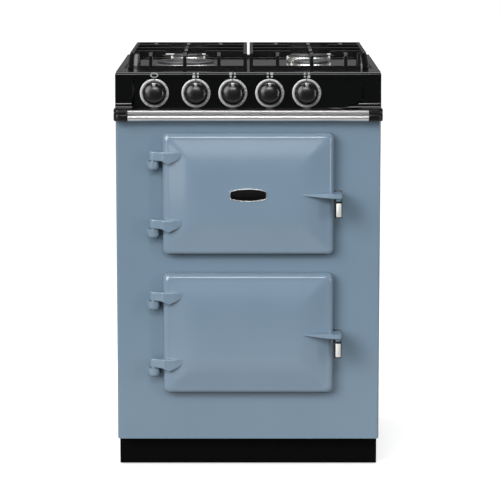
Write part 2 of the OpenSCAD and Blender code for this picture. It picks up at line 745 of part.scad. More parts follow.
// Doors
door_back = 3;
plug_gap = 10;
pin_x = -door_w / 2 - hinge_side;

function hinge_z(i) = [door_z(i) + hinge_low, door_z(i) + door_h - hinge_top];

door_rise = (door_out - rim_out) / ((slope_w + bevel_w) / 2 - door_edge);

// Reach of the door's face at a distance from its edge: a slope that fades into the flat middle
function door_face(d) = d > bevel_w ? door_out
    : d < slope_w ? rim_out + door_rise * (d - door_edge)
    : door_out - door_rise * pow(bevel_w - d, 2) / (2 * (bevel_w - slope_w));

module door_shell(i) {
    hull() {
        for (sx = [-1, 1], sz = [-1, 1])
            translate([sx * (door_w / 2 - door_r), front_y, door_mid(i) + sz * (door_h / 2 - door_r)])
                rotate([90, 0, 0]) rotate_extrude($fn = 32)
                    polygon(concat([[0, door_back], [door_r, door_back]],
                        arc(door_r - door_edge, rim_out - door_edge, door_edge, 0, 90, 5), [[0, rim_out]]));
        for (d = [slope_w : (bevel_w - slope_w) / 4 : bevel_w])
            upright(rounded(door_w - 2 * d, door_h - 2 * d, 4, door_mid(i), 2),
                door_face(d) - 1, door_face(d));
    }
}

// Seen from above, the arm wraps from its round end over the door's edge and fades into the face.
// Seen from the front, a web drops below it where it meets the door.
module hinge_arm(z) intersection() {
    plan(concat(arc(pin_x, hinge_out, arm_end_d / 2, 270, 110, 12),
        [[-door_w / 2 + 2, door_out + 2], [-door_w / 2 + arm_reach * 0.6, door_out + 1],
        [-door_w / 2 + arm_reach, door_face(arm_reach) - 0.5],
        [-door_w / 2 + arm_reach, 26], [-door_w / 2 + 1, 12], [-door_w / 2 + 1, hinge_out - arm_end_d / 2]]),
        z - arm_h / 2 - arm_drop, z + arm_h / 2);
    upright([[pin_x - arm_end_d, z - arm_h / 2], [-door_w / 2 + 1, z - arm_h / 2],
        [-door_w / 2 + 9, z - arm_h / 2 - arm_drop], [-door_w / 2 + arm_reach + 1, z + arm_h / 2 - 9],
        [-door_w / 2 + arm_reach + 1, z + arm_h / 2 - 3],
        [-door_w / 2 + 8, z + arm_h / 2], [pin_x - arm_end_d / 2 + 4, z + arm_h / 2],
        [pin_x - arm_end_d / 2 + 1, z + arm_h / 2 - 1], [pin_x - arm_end_d, z + arm_h / 2 - 9]], 0, 80);
}

module door_casting(i) color(enamel) difference() {
    union() {
        difference() {
            door_shell(i);
            upright(mouth(i, -plug_gap, 12), 0, rim_out - 7);
            upright(mouth(i, -plug_gap + step_w, 14), 0, door_back + 2);
            seal_ring(i, 0.2, 0, door_back + 6);
        }
        for (z = hinge_z(i)) hinge_arm(z);
    }
    for (z = hinge_z(i)) rod(pin_x, hinge_out, z - arm_h / 2 - 1, z + arm_h / 2 - 4, pin_d);
}

// A pressed panel: a flange on the casting's step and a shallow box that enters the oven's mouth
plug_in = 14;
step_w = 8;
panel_wall = 1.5;

module door_liner(i) color(steel) difference() {
    union() {
        upright(mouth(i, -plug_gap + step_w - 0.5, 14), door_back, door_back + 2);
        upright(mouth(i, -plug_gap, 12), -plug_in, door_back + eps);
    }
    upright(mouth(i, -plug_gap - panel_wall, 11), -plug_in + panel_wall, door_back + 3);
}

// The rope seal lies in a groove of the door's rim, around the oven's mouth
module seal_ring(i, grow, u0, u1) difference() {
    upright(mouth(i, seal_in + seal_t + grow, 20), u0, u1);
    upright(mouth(i, seal_in - grow, 14), u0 - 1, u1 + 1);
}

seal_in = 1.5;

module door_seal(i) color("#55565a") {
    seal_ring(i, 0, 2, door_back + 5.8);
    seal_ring(i, -1.2, slack, 2 + eps);
}

module hinge_pins(i) color(steel) for (z = hinge_z(i))
    rod(pin_x, hinge_out, z - arm_h / 2 - socket_h + 2, z + arm_h / 2 - 4, pin_d);

// A socket with a round lower end, on a foot that spreads out over the plate
socket_r = 9;
socket_gap = 1;

module hinge_sockets() color(enamel) for (i = lift, z = hinge_z(i)) difference() {
    top = z - arm_h / 2 - socket_gap;
    half = knuckle_d / 2;
    union() {
        translate([pin_x, front_y - hinge_out, top - socket_h]) rotate_extrude()
            polygon(concat([[0, 0]], arc(half - socket_r, socket_r, socket_r, 270, 360, 6),
                [[half, socket_h], [0, socket_h]]));
        plan([[pin_x - half + 1, hinge_out], [pin_x + half - 1, hinge_out], [pin_x + half - 1, 6],
            [pin_x + half + 3, 0], [pin_x - half - 3, 0], [pin_x - half + 1, 6]],
            top - socket_h + socket_r / 2, top);
    }
    rod(pin_x, hinge_out, top - socket_h - 1, top + 1, pin_d + 2 * fit);
}

// Catches
function catch_z(i) = door_mid(i);
catch_x = door_w / 2 + catch_over;
neck_x = door_w / 2 + 4;

tip_x = door_w / 2 - catch_reach;
tail_u = 20;

// A fin that is thickest at the door's edge and tapers to both ends
module catch_arm(i) color(enamel) translate([0, 0, catch_z(i)]) {
    intersection() {
        plan(concat([[tip_x, door_face(catch_reach) + slack],
            [door_w / 2 - catch_reach * 0.55, catch_out - 12], [door_w / 2 - 2, catch_out - 1],
            [catch_x - 7, catch_out], [catch_x - 2, catch_out - 2], [catch_x, catch_out - 7],
            [catch_x, tail_u + 4], [catch_x - 4, tail_u], [neck_x, tail_u]],
            arc(door_w / 2 - door_edge, rim_out - door_edge, door_edge + slack, 0, 90),
            [for (d = [slope_w : (catch_reach - slope_w) / 3 : catch_reach - 1])
                [door_w / 2 - d, door_face(d) + slack]]), -catch_t / 2, catch_t / 2);
        upright([[tip_x, -1.5], [tip_x, 1.5], [neck_x - 6, catch_t / 2], [catch_x - 6, catch_t / 2],
            [catch_x - 2, catch_t / 2 - 1.2], [catch_x, catch_t / 2 - 3.5], [catch_x, 3.5 - catch_t / 2],
            [catch_x - 2, 1.2 - catch_t / 2], [catch_x - 6, -catch_t / 2], [neck_x - 6, -catch_t / 2]],
            0, catch_out);
    }
    block(neck_x, catch_x - 4, catch_out - 22, catch_out - 8, grip_z1, 0);
}

grip_z1 = -catch_t / 2 - 6;
grip_mid = catch_x - 8;
function plate_z(i) = catch_z(i) + grip_z1 - grip_h / 2 - 1;

module grip(i) color(black) difference() {
    plan(concat([[catch_x - 17.5, catch_out - 26]], [[catch_x - 17.5, catch_out - 4]],
        arc(catch_x - 4.5, catch_out - 6, 4, 90, 0, 4), [[catch_x - 0.5, catch_out - 26]]),
        catch_z(i) + grip_z1 - grip_h, catch_z(i) + grip_z1);
    translate([grip_mid, 0, 0]) upright(rounded(11.5, grip_h - 6, 1.5, plate_z(i), 3),
        catch_out - 5, catch_out + 1);
}

module grip_plate(i) color(bright) translate([grip_mid, 0, 0])
    upright(rounded(11, grip_h - 6.5, 1.5, plate_z(i), 3), catch_out - 5, catch_out - 2.6);

keeper_t = catch_t / 3;
keeper_low = 2 * catch_t;
keeper_x = catch_x - keeper_t;

// A screwed foot and a hook behind the arm's tail
module catch_keepers() color(steel) for (i = lift) translate([0, 0, catch_z(i)]) {
    block(keeper_x - catch_t + 2, catch_x - 1, 0, keeper_t, -keeper_low, catch_t / 2);
    block(keeper_x - catch_t + 4, keeper_x, keeper_t - eps, tail_u - slack, -catch_t / 2, catch_t / 2);
}

// Front view of the badge: an ellipse cut off at both ends
badge_long = 1.2 * badge_w;
badge_ends = [-1, -0.97, -0.85, -0.7, -0.5, -0.3, -0.1];
badge_steps = concat(badge_ends, [for (i = [1 : len(badge_ends)]) -badge_ends[len(badge_ends) - i]]);

function barrel(grow) = let (w = badge_w / 2 + grow, h = badge_h / 2 + grow, a = badge_long / 2 + grow)
    concat([for (t = badge_steps) [w * t, -h * sqrt(1 - pow(w * t / a, 2))]],
        [for (t = badge_steps) [-w * t, h * sqrt(1 - pow(w * t / a, 2))]]);

module badge_plate() color(bright) translate([0, 0, door_mid(1)]) {
    upright(barrel(0), door_out, door_out + 1.6);
    upright(barrel(-1.4), door_out + 1.5, door_out + 2.2);
}

// Pan supports, drawn for the right half
support_half = deck_half - support_side;
support_z = hob_z + support_up;
bar_z = support_z - bar_h;
support_front = -front_margin - 8;
support_back = support_front - support_len;
seam = 3;
corner_r = 28;
lean = 6;
low_z = deck_z + 4;

// A bar from its root to a rounded, slimmer tip, as lengths along the bar and heights
module finger_x(u, root, tip) let (d = sign(tip - root)) translate([0, front_y - u + bar_w / 2, 0])
    rotate([90, 0, 0]) linear_extrude(bar_w) polygon([[root, bar_z], [root, support_z],
        [tip - d * 4, support_z], [tip, support_z - 4], [tip - d * 2, support_z - 8],
        [tip - d * 18, bar_z]]);

module finger_u(x, root, tip) let (d = sign(tip - root)) profile([[root, bar_z], [root, support_z],
    [tip - d * 4, support_z], [tip, support_z - 4], [tip - d * 2, support_z - 8],
    [tip - d * 18, bar_z]], x - bar_w / 2, x + bar_w / 2);

// A front finger rises from the low front bar and turns back towards the burner
module front_finger(x) profile(concat([[support_front - bar_w, low_z], [support_front, low_z]],
    arc(support_front - 7, support_z - 7, 7, 0, 90, 5),
    [[-burner_front + finger_free + 4, support_z], [-burner_front + finger_free, support_z - 4],
    [-burner_front + finger_free + 2, support_z - 8], [support_front - bar_w - 6, bar_z],
    [support_front - bar_w, bar_z - 6]]), x - bar_w / 2, x + bar_w / 2);

module pan_support(side) color(iron) on_side(side) {
    out = support_half - lean;
    corner_u = support_front - corner_r;
    mid_u = (support_front + support_back) / 2;
    block(out - bar_w, out, support_back + 6, corner_u, bar_z, support_z);
    block(seam, seam + bar_w, support_back, support_front, bar_z, support_z);
    block(seam, out - 6, support_back, support_back + bar_w, bar_z, support_z);
    block(seam, support_half - corner_r, support_front - bar_w, support_front - 1, low_z, low_z + bar_w);
    block(seam, seam + bar_w, support_front - bar_w - 4, support_front, deck_z, support_z);
    for (x = [seam, out - bar_w]) block(x, x + bar_w, support_back, support_back + 14, deck_z, support_z);
    translate([support_half - corner_r, front_y - corner_u, 0]) rotate([0, 0, -90])
        rotate_extrude(angle = 90) polygon([[corner_r - bar_w - 1, deck_z], [corner_r, deck_z],
            [corner_r - 0.5, deck_z + bar_h], [corner_r - lean + 1, support_z - 4],
            [corner_r - lean - 1, support_z], [corner_r - lean - bar_w - 1, support_z],
            [corner_r - lean - bar_w - 1, bar_z]]);
    block(seam, out, mid_u - bar_w / 2, mid_u + bar_w / 2, bar_z, support_z);
    for (u = [-burner_front, -burner_back]) {
        finger_x(u, out - 1, burner_x + finger_free);
        finger_x(u, seam + 1, burner_x - finger_free);
    }
    finger_u(burner_x, mid_u, -burner_front - finger_free);
    finger_u(burner_x, mid_u, -burner_back + finger_free);
    finger_u(burner_x, support_back + 1, -burner_back - finger_free);
    for (k = [-1 : 1]) front_finger(burner_x + k * finger_pitch);
    for (k = [-1, 1]) finger_u(burner_x + k * finger_pitch, support_back + 1, support_back + 44);
}

base_frame();
levelling_feet();
plinth();
side_panel(-1);  // side_panel_left
side_panel(1);  // side_panel_right
front_casting();
back_panel();
terminal_box();
hob_plate();
fascia();
trim_rail();
rail_caps();
oven_liner(1);  // oven_liner_upper
oven_liner(0);  // oven_liner_lower
shelf(1);  // shelf_upper
shelf(0);  // shelf_lower
insulation();
heating_elements();
oven_control();
spindle(oven_knob_x);  // oven_spindle
knob(oven_knob_x);  // oven_knob
dial_rings();
gas_taps();
gas_manifold();
feed_pipes();
injector_cups();
tap_plug(tap_xs[0]);  // tap_plug_1
tap_plug(tap_xs[1]);  // tap_plug_2
tap_plug(tap_xs[2]);  // tap_plug_3
tap_plug(tap_xs[3]);  // tap_plug_4
spindle(tap_xs[0]);  // tap_spindle_1
spindle(tap_xs[1]);  // tap_spindle_2
spindle(tap_xs[2]);  // tap_spindle_3
spindle(tap_xs[3]);  // tap_spindle_4
knob(tap_xs[0]);  // burner_knob_1
knob(tap_xs[1]);  // burner_knob_2
knob(tap_xs[2]);  // burner_knob_3
knob(tap_xs[3]);  // burner_knob_4
burner_crowns();
burner_caps();
burner_electrodes();
pan_support(-1);  // pan_support_left
pan_support(1);  // pan_support_right
hinge_sockets();
catch_keepers();
door_casting(1);  // door_casting_upper
door_casting(0);  // door_casting_lower
door_liner(1);  // door_liner_upper
door_liner(0);  // door_liner_lower
door_seal(1);  // door_seal_upper
door_seal(0);  // door_seal_lower
hinge_pins(1);  // hinge_pins_upper
hinge_pins(0);  // hinge_pins_lower
catch_arm(1);  // catch_arm_upper
catch_arm(0);  // catch_arm_lower
grip(1);  // grip_upper
grip(0);  // grip_lower
grip_plate(1);  // grip_plate_upper
grip_plate(0);  // grip_plate_lower
badge_plate();
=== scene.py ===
# %% [markdown]
# # A cast range cooker with two ovens and a gas hob
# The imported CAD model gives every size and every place. This lesson dresses it:
# it models the pieces that the eye meets first, softens the edges of the cast and
# pressed ones, and gives each surface the finish that the real one has.

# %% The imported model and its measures
import bpy
import math
from mathutils import Matrix, Vector


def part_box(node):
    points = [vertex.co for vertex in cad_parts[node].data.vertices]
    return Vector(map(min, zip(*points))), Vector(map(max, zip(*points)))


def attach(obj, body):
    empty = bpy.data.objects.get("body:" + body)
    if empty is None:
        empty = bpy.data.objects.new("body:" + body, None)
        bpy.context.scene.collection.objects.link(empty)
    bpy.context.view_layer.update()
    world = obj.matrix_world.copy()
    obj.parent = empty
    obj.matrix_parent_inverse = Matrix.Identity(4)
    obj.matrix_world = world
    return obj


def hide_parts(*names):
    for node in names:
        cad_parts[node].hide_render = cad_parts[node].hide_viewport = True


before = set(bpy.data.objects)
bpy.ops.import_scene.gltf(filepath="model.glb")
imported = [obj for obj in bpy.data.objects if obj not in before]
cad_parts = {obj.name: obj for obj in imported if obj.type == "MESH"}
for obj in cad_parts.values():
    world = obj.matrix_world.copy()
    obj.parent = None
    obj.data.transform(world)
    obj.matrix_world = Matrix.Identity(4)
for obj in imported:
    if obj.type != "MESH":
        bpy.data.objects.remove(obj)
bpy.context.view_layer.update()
MM = 0.001
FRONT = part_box("front_casting")[0][1] / MM
print("front plate at y", round(FRONT, 1), "mm")

# %% [markdown]
# ## The camera
# The photograph was taken from some metres away with a long lens, a little above the
# hob and looking slightly down. Distance, height, tilt and lens come from a fit of
# the cooker's corners to the picture, so the camera is placed once, by those numbers.

# %% The camera
camera_data = bpy.data.cameras.new("camera")
camera = bpy.data.objects.new("camera", camera_data)
bpy.context.scene.collection.objects.link(camera)
camera_data.sensor_fit = "HORIZONTAL"
camera_data.sensor_width = 36
camera_data.lens = 176.45
camera_data.clip_end = 60
camera.location = (0.00406, FRONT * MM - 5.5, 1.337)
camera.rotation_euler = (math.radians(90 - 8.59), 0, 0)
bpy.context.scene.camera = camera
print("camera height", camera.location.z, "m, lens", camera_data.lens, "mm")

# %% [markdown]
# ## Small helpers for modelling by hand
# An operator works on whatever is selected, so each piece starts from nothing
# selected. Sizes are given in millimetres: x from the cooker's middle, u in front of
# the front plate, z above the floor.

# %% Starting a piece
def deselect():
    if bpy.context.mode != "OBJECT":
        bpy.ops.object.mode_set(mode="OBJECT")
    bpy.ops.object.select_all(action="DESELECT")


def take(piece):
    """Selects one piece alone."""
    deselect()
    bpy.context.view_layer.objects.active = piece
    piece.select_set(True)


def settle(name):
    """Names the piece just made, and moves its place and size into its mesh."""
    piece = bpy.context.object
    piece.name = piece.data.name = name
    bpy.ops.object.transform_apply(location=True, rotation=True, scale=True)
    return piece


def slab(name, x0, x1, u0, u1, z0, z1):
    """A block between its limits, to be shaped further."""
    deselect()
    middle = ((x0 + x1) / 2 * MM, (FRONT - (u0 + u1) / 2) * MM, (z0 + z1) / 2 * MM)
    bpy.ops.mesh.primitive_cube_add(size=1, location=middle,
        scale=((x1 - x0) * MM, (u1 - u0) * MM, (z1 - z0) * MM))
    return settle(name)


# %% Choosing faces, edges or corners by their place
def choose(piece, kind, test):
    """Selects what passes the test, stays in edit mode, and says how many were found."""
    take(piece)
    mesh = piece.data
    bpy.ops.object.mode_set(mode="EDIT")
    bpy.ops.mesh.select_mode(type=kind)
    bpy.ops.mesh.select_all(action="DESELECT")
    bpy.ops.object.mode_set(mode="OBJECT")
    place = [v.co / MM for v in mesh.vertices]
    chosen = 0
    if kind == "FACE":
        for f in mesh.polygons:
            f.select = test(f.center / MM, f.normal)
            chosen += f.select
    elif kind == "EDGE":
        for e in mesh.edges:
            e.select = test(place[e.vertices[0]], place[e.vertices[1]])
            chosen += e.select
    else:
        for v in mesh.vertices:
            v.select = test(place[v.index])
            chosen += v.select
    bpy.ops.object.mode_set(mode="EDIT")
    return chosen


def done():
    bpy.ops.object.mode_set(mode="OBJECT")


def all_of(piece):
    choose(piece, "FACE", lambda c, n: True)


# %% Cutting, rounding and joining
def cut(piece, point, outward):
    """Cuts away what lies beyond a plane, and closes the cut."""
    all_of(piece)
    bpy.ops.mesh.bisect(plane_co=[v * MM for v in point], plane_no=outward,
        use_fill=True, clear_outer=True)
    done()


def round_edges(piece, width, segments, test):
    choose(piece, "EDGE", test)
    bpy.ops.mesh.bevel(offset=width * MM, segments=segments, affect="EDGES", clamp_overlap=True)
    done()


def modify(piece, kind, **settings):
    """Adds a modifier with its settings, and applies it at once."""
    take(piece)
    added = piece.modifiers.new(kind.lower(), kind)
    for key, value in settings.items():
        setattr(added, key, value)
    bpy.ops.object.modifier_apply(modifier=added.name)


def soft_edges(piece, width, segments=2, angle=35):
    """Rounds every edge that turns by more than an angle."""
    modify(piece, "BEVEL", width=width * MM, segments=segments, limit_method="ANGLE",
        angle_limit=math.radians(angle), harden_normals=False)


def smooth(piece, angle=40):
    take(piece)
    bpy.ops.object.shade_smooth_by_angle(angle=math.radians(angle))


def join(name, *pieces):
    deselect()
    for piece in pieces:
        piece.select_set(True)
    bpy.context.view_layer.objects.active = pieces[0]
    bpy.ops.object.join()
    pieces[0].name = pieces[0].data.name = name
    return pieces[0]


# %% Turning a profile, as on a lathe
def turned(name, profile, steps=64):
    """Profile points are radius and height in mm; the piece turns about z."""
    deselect()
    bpy.ops.mesh.primitive_plane_add(size=MM, location=(0, 0, 0))
    piece = settle(name)
    choose(piece, "VERT", lambda p: True)
    bpy.ops.mesh.merge(type="CENTER")
    r0, h0 = profile[0]
    bpy.ops.transform.translate(value=(r0 * MM, 0, h0 * MM))
    for (r0, h0), (r1, h1) in zip(profile, profile[1:]):
        bpy.ops.mesh.extrude_region_move(
            TRANSFORM_OT_translate={"value": ((r1 - r0) * MM, 0, (h1 - h0) * MM)})
    done()
    choose(piece, "VERT", lambda p: True)
    bpy.ops.mesh.spin(steps=steps, angle=math.tau, center=(0, 0, 0), axis=(0, 0, 1))
    bpy.ops.mesh.select_all(action="SELECT")
    bpy.ops.mesh.remove_doubles(threshold=0.02 * MM)
    bpy.ops.mesh.normals_make_consistent(inside=False)
    done()
    return piece


def put(piece, matrix):
    """Places a piece and leaves its object at the origin."""
    take(piece)
    piece.matrix_world = matrix
    bpy.ops.object.transform_apply(location=True, rotation=True, scale=True)
    return piece


def copy_of(piece, name, matrix):
    """A placed copy with a mesh of its own."""
    made = piece.copy()
    made.data = piece.data.copy()
    bpy.context.scene.collection.objects.link(made)
    made.name = made.data.name = name
    return put(made, matrix)


def at(x, u, z):
    """The place at x, u in front of the plate, and height z."""
    return Matrix.Translation((x * MM, (FRONT - u) * MM, z * MM))


# %% Softening a CAD node
def softened(node, name, width, segments=2, angle=30):
    """A welded copy of a CAD node, with its edges eased and its curves shaded smooth.

    Weighted normals keep its flat faces flat right up to the eased edges.
    """
    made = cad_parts[node].copy()
    made.data = made.data.copy()
    made.parent = None
    made.matrix_world = Matrix.Identity(4)
    bpy.context.scene.collection.objects.link(made)
    made.name = made.data.name = name
    all_of(made)
    bpy.ops.mesh.remove_doubles(threshold=0.01 * MM)
    bpy.ops.mesh.dissolve_limited(angle_limit=math.radians(1))
    done()
    if width:
        soft_edges(made, width, segments, angle)
    smooth(made, angle)
    modify(made, "WEIGHTED_NORMAL", keep_sharp=True)
    made.data.materials.clear()
    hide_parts(node)
    return made


# %% [markdown]
# ## Finishes
# Every finish is built from nodes. Colours are written as screen hex values and
# turned to linear light by one function. Patterns read Object coordinates, which are
# metres here, so a scale of 1000 / size gives grain of that size in millimetres.

# %% Colour and node helpers
def linear(hex_colour):
    parts = [int(hex_colour[i:i + 2], 16) / 255 for i in (1, 3, 5)]
    return [c / 12.92 if c <= 0.04045 else ((c + 0.055) / 1.055) ** 2.4 for c in parts] + [1]


def add_node(material, kind, settings, links=None):
    """Adds a node; number keys and input names are sockets, other keys are properties."""
    made = material.node_tree.nodes.new("ShaderNode" + kind)
    for key, value in settings.items():
        if isinstance(key, int) or key in made.inputs:
            made.inputs[key].default_value = value
        else:
            setattr(made, key, value)
    for key, socket in (links or {}).items():
        material.node_tree.links.new(socket, made.inputs[key])
    return made


def new_finish(name, colour, roughness, **shader):
    """A material with its Principled shader, and the coordinates its patterns read."""
    material = bpy.data.materials.new(name)
    material.use_nodes = True
    surface = material.node_tree.nodes["Principled BSDF"]
    surface.inputs["Base Color"].default_value = linear(colour)
    surface.inputs["Roughness"].default_value = roughness
    for key, value in shader.items():
        surface.inputs[key.replace("_", " ")].default_value = value
    place = add_node(material, "TexCoord", {}).outputs["Object"]
    return material, surface, place


def per(size_mm):
    """The scale that gives a pattern of this size."""
    return 1 / (size_mm * MM)


# %% Two patterns that many finishes share
def mottle(material, surface, place, size_mm, colours, detail=3):
    """Slow change between two near colours."""
    noise = add_node(material, "TexNoise", {"Scale": per(size_mm), "Detail": detail},
        {"Vector": place})
    two = {"data_type": "RGBA", 6: linear(colours[0]), 7: linear(colours[1])}
    mix = add_node(material, "Mix", two, {0: noise.outputs["Fac"]})
    material.node_tree.links.new(mix.outputs[2], surface.inputs["Base Color"])


def ripple(material, surface, place, layers):
    """Bumps, coarse first: pairs of size and height in mm."""
    normal = None
    for size_mm, height_mm in layers:
        noise = add_node(material, "TexNoise", {"Scale": per(size_mm), "Detail": 2},
            {"Vector": place})
        links = {"Height": noise.outputs["Fac"]}
        if normal:
            links["Normal"] = normal
        bump = add_node(material, "Bump", {"Strength": 1, "Distance": height_mm * MM}, links)
        normal = bump.outputs["Normal"]
    material.node_tree.links.new(normal, surface.inputs["Normal"])


# %% [markdown]
# ### Vitreous enamel
# Glass fused to iron. It is glossy, a little uneven in depth where it pooled, and its
# skin has the soft waviness of a sprayed and fired coat, which bends reflections.

# %% Enamels
def vitreous_enamel(name, colours, roughness, waves, coat=0.0):
    material, surface, place = new_finish(name, colours[0], roughness, IOR=1.5, Coat_Weight=coat,
        Coat_Roughness=0.06)
    mottle(material, surface, place, 90, colours)
    ripple(material, surface, place, waves)
    return material


# Sprayed and fired on the casing: an even satin gloss, faintly clouded.
blue_enamel = vitreous_enamel("blue_vitreous_enamel", ("#708697", "#758b9d"), 0.24,
    [(120, 0.5), (5, 0.012)], 0.35)
# The same glass laid thicker on sand-cast doors: a deeper gloss over slow waves.
door_enamel = vitreous_enamel("blue_enamel_on_cast_iron", ("#73899b", "#798ea0"), 0.2,
    [(80, 0.5), (5, 0.012)], 0.6)
# Black glass on the pressings: a near mirror, dark wherever the room in front is dark.
black_enamel = vitreous_enamel("black_vitreous_enamel", ("#040505", "#070808"), 0.08,
    [(60, 0.1), (4, 0.004)])
# Fired satin on the burner caps: dark grey, and it scatters the light from overhead.
cap_enamel = vitreous_enamel("dark_satin_burner_cap_enamel", ("#3c3d3f", "#4c4d4f"), 0.38,
    [(14, 0.05), (1.2, 0.02)])
# The ground coat inside the ovens: duller, cloudy and slightly pitted.
oven_enamel = vitreous_enamel("grey_speckled_oven_enamel", ("#3c3e41", "#55575a"), 0.3, [(6, 0.05)])
print("enamels on the casing, doors, pressings, caps and ovens")

# %% [markdown]
# ### Cast iron, steel and aluminium
# The pan supports are cast iron under a matt black enamel, so their skin is slightly
# grainy. The rail is drawn stainless steel, with fine lines along its length. The
# burners are machined aluminium, bright and even. Metals keep the shader's own IOR.

# %% Metals
def cast_iron():
    """Matt enamel over sand-cast bars: grains of 1 to 6 mm break up its reflections."""
    material, surface, place = new_finish("enamelled_black_cast_iron", "#070708", 0.2, IOR=1.5)
    mottle(material, surface, place, 8, ("#050506", "#0d0d0f"), 4)
    ripple(material, surface, place, [(6, 0.16), (1.2, 0.03)])
    return material


def drawn_metal(name, colours, roughness, along, grain=(60, 0.5), height=0.004):
    """Metal with fine lines along one axis; grain is their length and spacing in mm."""
    material, surface, place = new_finish(name, colours[0], roughness, Metallic=1.0)
    scale = [per(grain[1])] * 3
    scale[along] = per(grain[0])
    stretch = add_node(material, "Mapping", {"Scale": scale}, {"Vector": place})
    lines = add_node(material, "TexNoise", {"Scale": 1, "Detail": 2},
        {"Vector": stretch.outputs["Vector"]})
    two = {"data_type": "RGBA", 6: linear(colours[0]), 7: linear(colours[1])}
    tint = add_node(material, "Mix", two, {0: lines.outputs["Fac"]})
    bump = add_node(material, "Bump", {"Strength": 1, "Distance": height * MM},
        {"Height": lines.outputs["Fac"]})
    material.node_tree.links.new(tint.outputs[2], surface.inputs["Base Color"])
    material.node_tree.links.new(bump.outputs["Normal"], surface.inputs["Normal"])
    return material


def plain_metal(name, colours, roughness, size_mm, layers):
    material, surface, place = new_finish(name, colours[0], roughness, Metallic=1.0)
    mottle(material, surface, place, size_mm, colours)
    ripple(material, surface, place, layers)
    return material


black_iron = cast_iron()
# Drawn through a die: its fine lines run along x and stretch each reflection upright. The
# real lines are finer than a pixel, so they are drawn half a millimetre apart. The
# doors' inner panels share this sheet.
rail_steel = drawn_metal("drawn_stainless_steel", ("#bcbbbb", "#d4d3d2"), 0.3, 0)
# Etched and anodised rings: a soft even grey sheen without a clear highlight.
satin_ring = plain_metal("satin_anodised_aluminium", ("#a6a6a5", "#c0c0bf"), 0.46, 9, [(1.5, 0.02)])
# Die-cast and machined crowns: bright, with soft-edged highlights.
burner_metal = plain_metal("machined_aluminium", ("#d2d2cf", "#e8e8e5"), 0.36, 7, [(2, 0.02)])
# Plated and bead-blasted grip plates: nearly white, with no mirror image.
satin_nickel = plain_metal("satin_nickel_plate", ("#dcdad6", "#f0efec"), 0.5, 12, [(1.5, 0.01)])
# Polished plating on the badge rim and shelf wires: a clear mirror.
bright_chrome = plain_metal("polished_chrome", ("#d8d8d8", "#e6e6e6"), 0.07, 30, [(40, 0.02)])
# Turned and ground pins and spindles: fine upright lines, across the spindles' length.
turned_steel = drawn_metal("turned_steel", ("#a9a9a8", "#c2c2c0"), 0.28, 2, (20, 0.4))
# Hot-forged taps: warm yellow, slightly uneven.
brass_metal = plain_metal("forged_brass", ("#b08d4a", "#c7a765"), 0.34, 10, [(2, 0.03)])
# Heating tubes: steel browned by heat, so dark and dull.
element_metal = plain_metal("heat_stained_steel_tube", ("#57534f", "#6f6a66"), 0.42, 14,
    [(3, 0.02)])
print("rail lines every 0.5 mm, iron grain 1.2 to 8 mm")

# %% [markdown]
# ### Zinc, plastic, ceramic and wool
# The hidden back and base are sheet steel with a zinc coat, whose crystals show as
# soft patches about a centimetre wide. The knobs are glossy moulded plastic, and the
# small parts have their own simple skins.

# %% Zinc coated sheet
def zinc_sheet():
    """Hot-dipped zinc: its crystals, 12 mm wide, each take the light a little differently."""
    material, surface, place = new_finish("zinc_coated_sheet_steel", "#9da2a5", 0.42, Metallic=1.0)
    crystals = add_node(material, "TexVoronoi", {"Scale": per(12)}, {"Vector": place})
    grey = add_node(material, "SeparateColor", {}, {"Color": crystals.outputs["Color"]})
    two = {"data_type": "RGBA", 6: linear("#93989b"), 7: linear("#b4b9bc")}
    tint = add_node(material, "Mix", two, {0: grey.outputs["Red"]})
    material.node_tree.links.new(tint.outputs[2], surface.inputs["Base Color"])
    ripple(material, surface, place, [(50, 0.1)])
    return material


def moulded(name, colours, roughness, grain_mm, height_mm, ior=1.5):
    material, surface, place = new_finish(name, colours[0], roughness, IOR=ior)
    mottle(material, surface, place, 25, colours)
    ripple(material, surface, place, [(grain_mm, height_mm)])
    return material


zinc = zinc_sheet()
# Pressed in a polished mould: the domed faces carry soft glows of the lamps.
knob_gloss = moulded("gloss_black_phenolic", ("#0b0b0c", "#121314"), 0.22, 20, 0.02)
# Moulded with a fine spark-eroded grain: caps, grips, feet and the terminal box.
black_plastic = moulded("satin_black_plastic", ("#060606", "#0b0b0c"), 0.24, 0.8, 0.02)
# Bare moulded nylon: milky white with a low sheen.
white_plastic = moulded("white_nylon", ("#dcd9d0", "#e6e3db"), 0.4, 1, 0.02)
# Glazed alumina on the igniters: white and shiny.
electrode_glaze = moulded("white_spark_ceramic", ("#e2dfd8", "#eeebe5"), 0.25, 2, 0.01)
# Baked matt powder on the plinth: so dull that it hardly mirrors, hence the low IOR.
plinth_black = moulded("flat_black_powder_coat", ("#010101", "#030303"), 0.7, 1.2, 0.02, 1.15)
# Screen inks: flat films with a fine mesh grain.
printed_black = moulded("black_screen_print", ("#0a0a0b", "#111112"), 0.5, 0.5, 0.005)
printed_silver = moulded("silver_screen_print", ("#8d8f91", "#a9abad"), 0.4, 0.5, 0.005)
print("zinc crystals 12 mm wide, plastic grain 0.8 mm")


# %% Wool and rope
def wool(name, colours, strand_mm):
    material, surface, place = new_finish(name, colours[0], 0.95)
    mottle(material, surface, place, strand_mm * 4, colours, 6)
    ripple(material, surface, place, [(strand_mm * 2, 1.2), (strand_mm, 0.5)])
    return material


# Spun rock fibre between the casing and the ovens: matted straw yellow.
mineral_wool = wool("mineral_wool", ("#b6a06a", "#d8c896"), 2.0)
# Braided glass yarn around each oven mouth: dark grey and fibrous.
glass_rope = wool("braided_glass_rope", ("#303133", "#5a5b5e"), 0.9)
print(len(bpy.data.materials), "materials, the packed model's own among them")


# %% Putting a finish on a piece
def dress(piece, material, body=None):
    piece.data.materials.clear()
    piece.data.materials.append(material)
    if body:
        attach(piece, body)


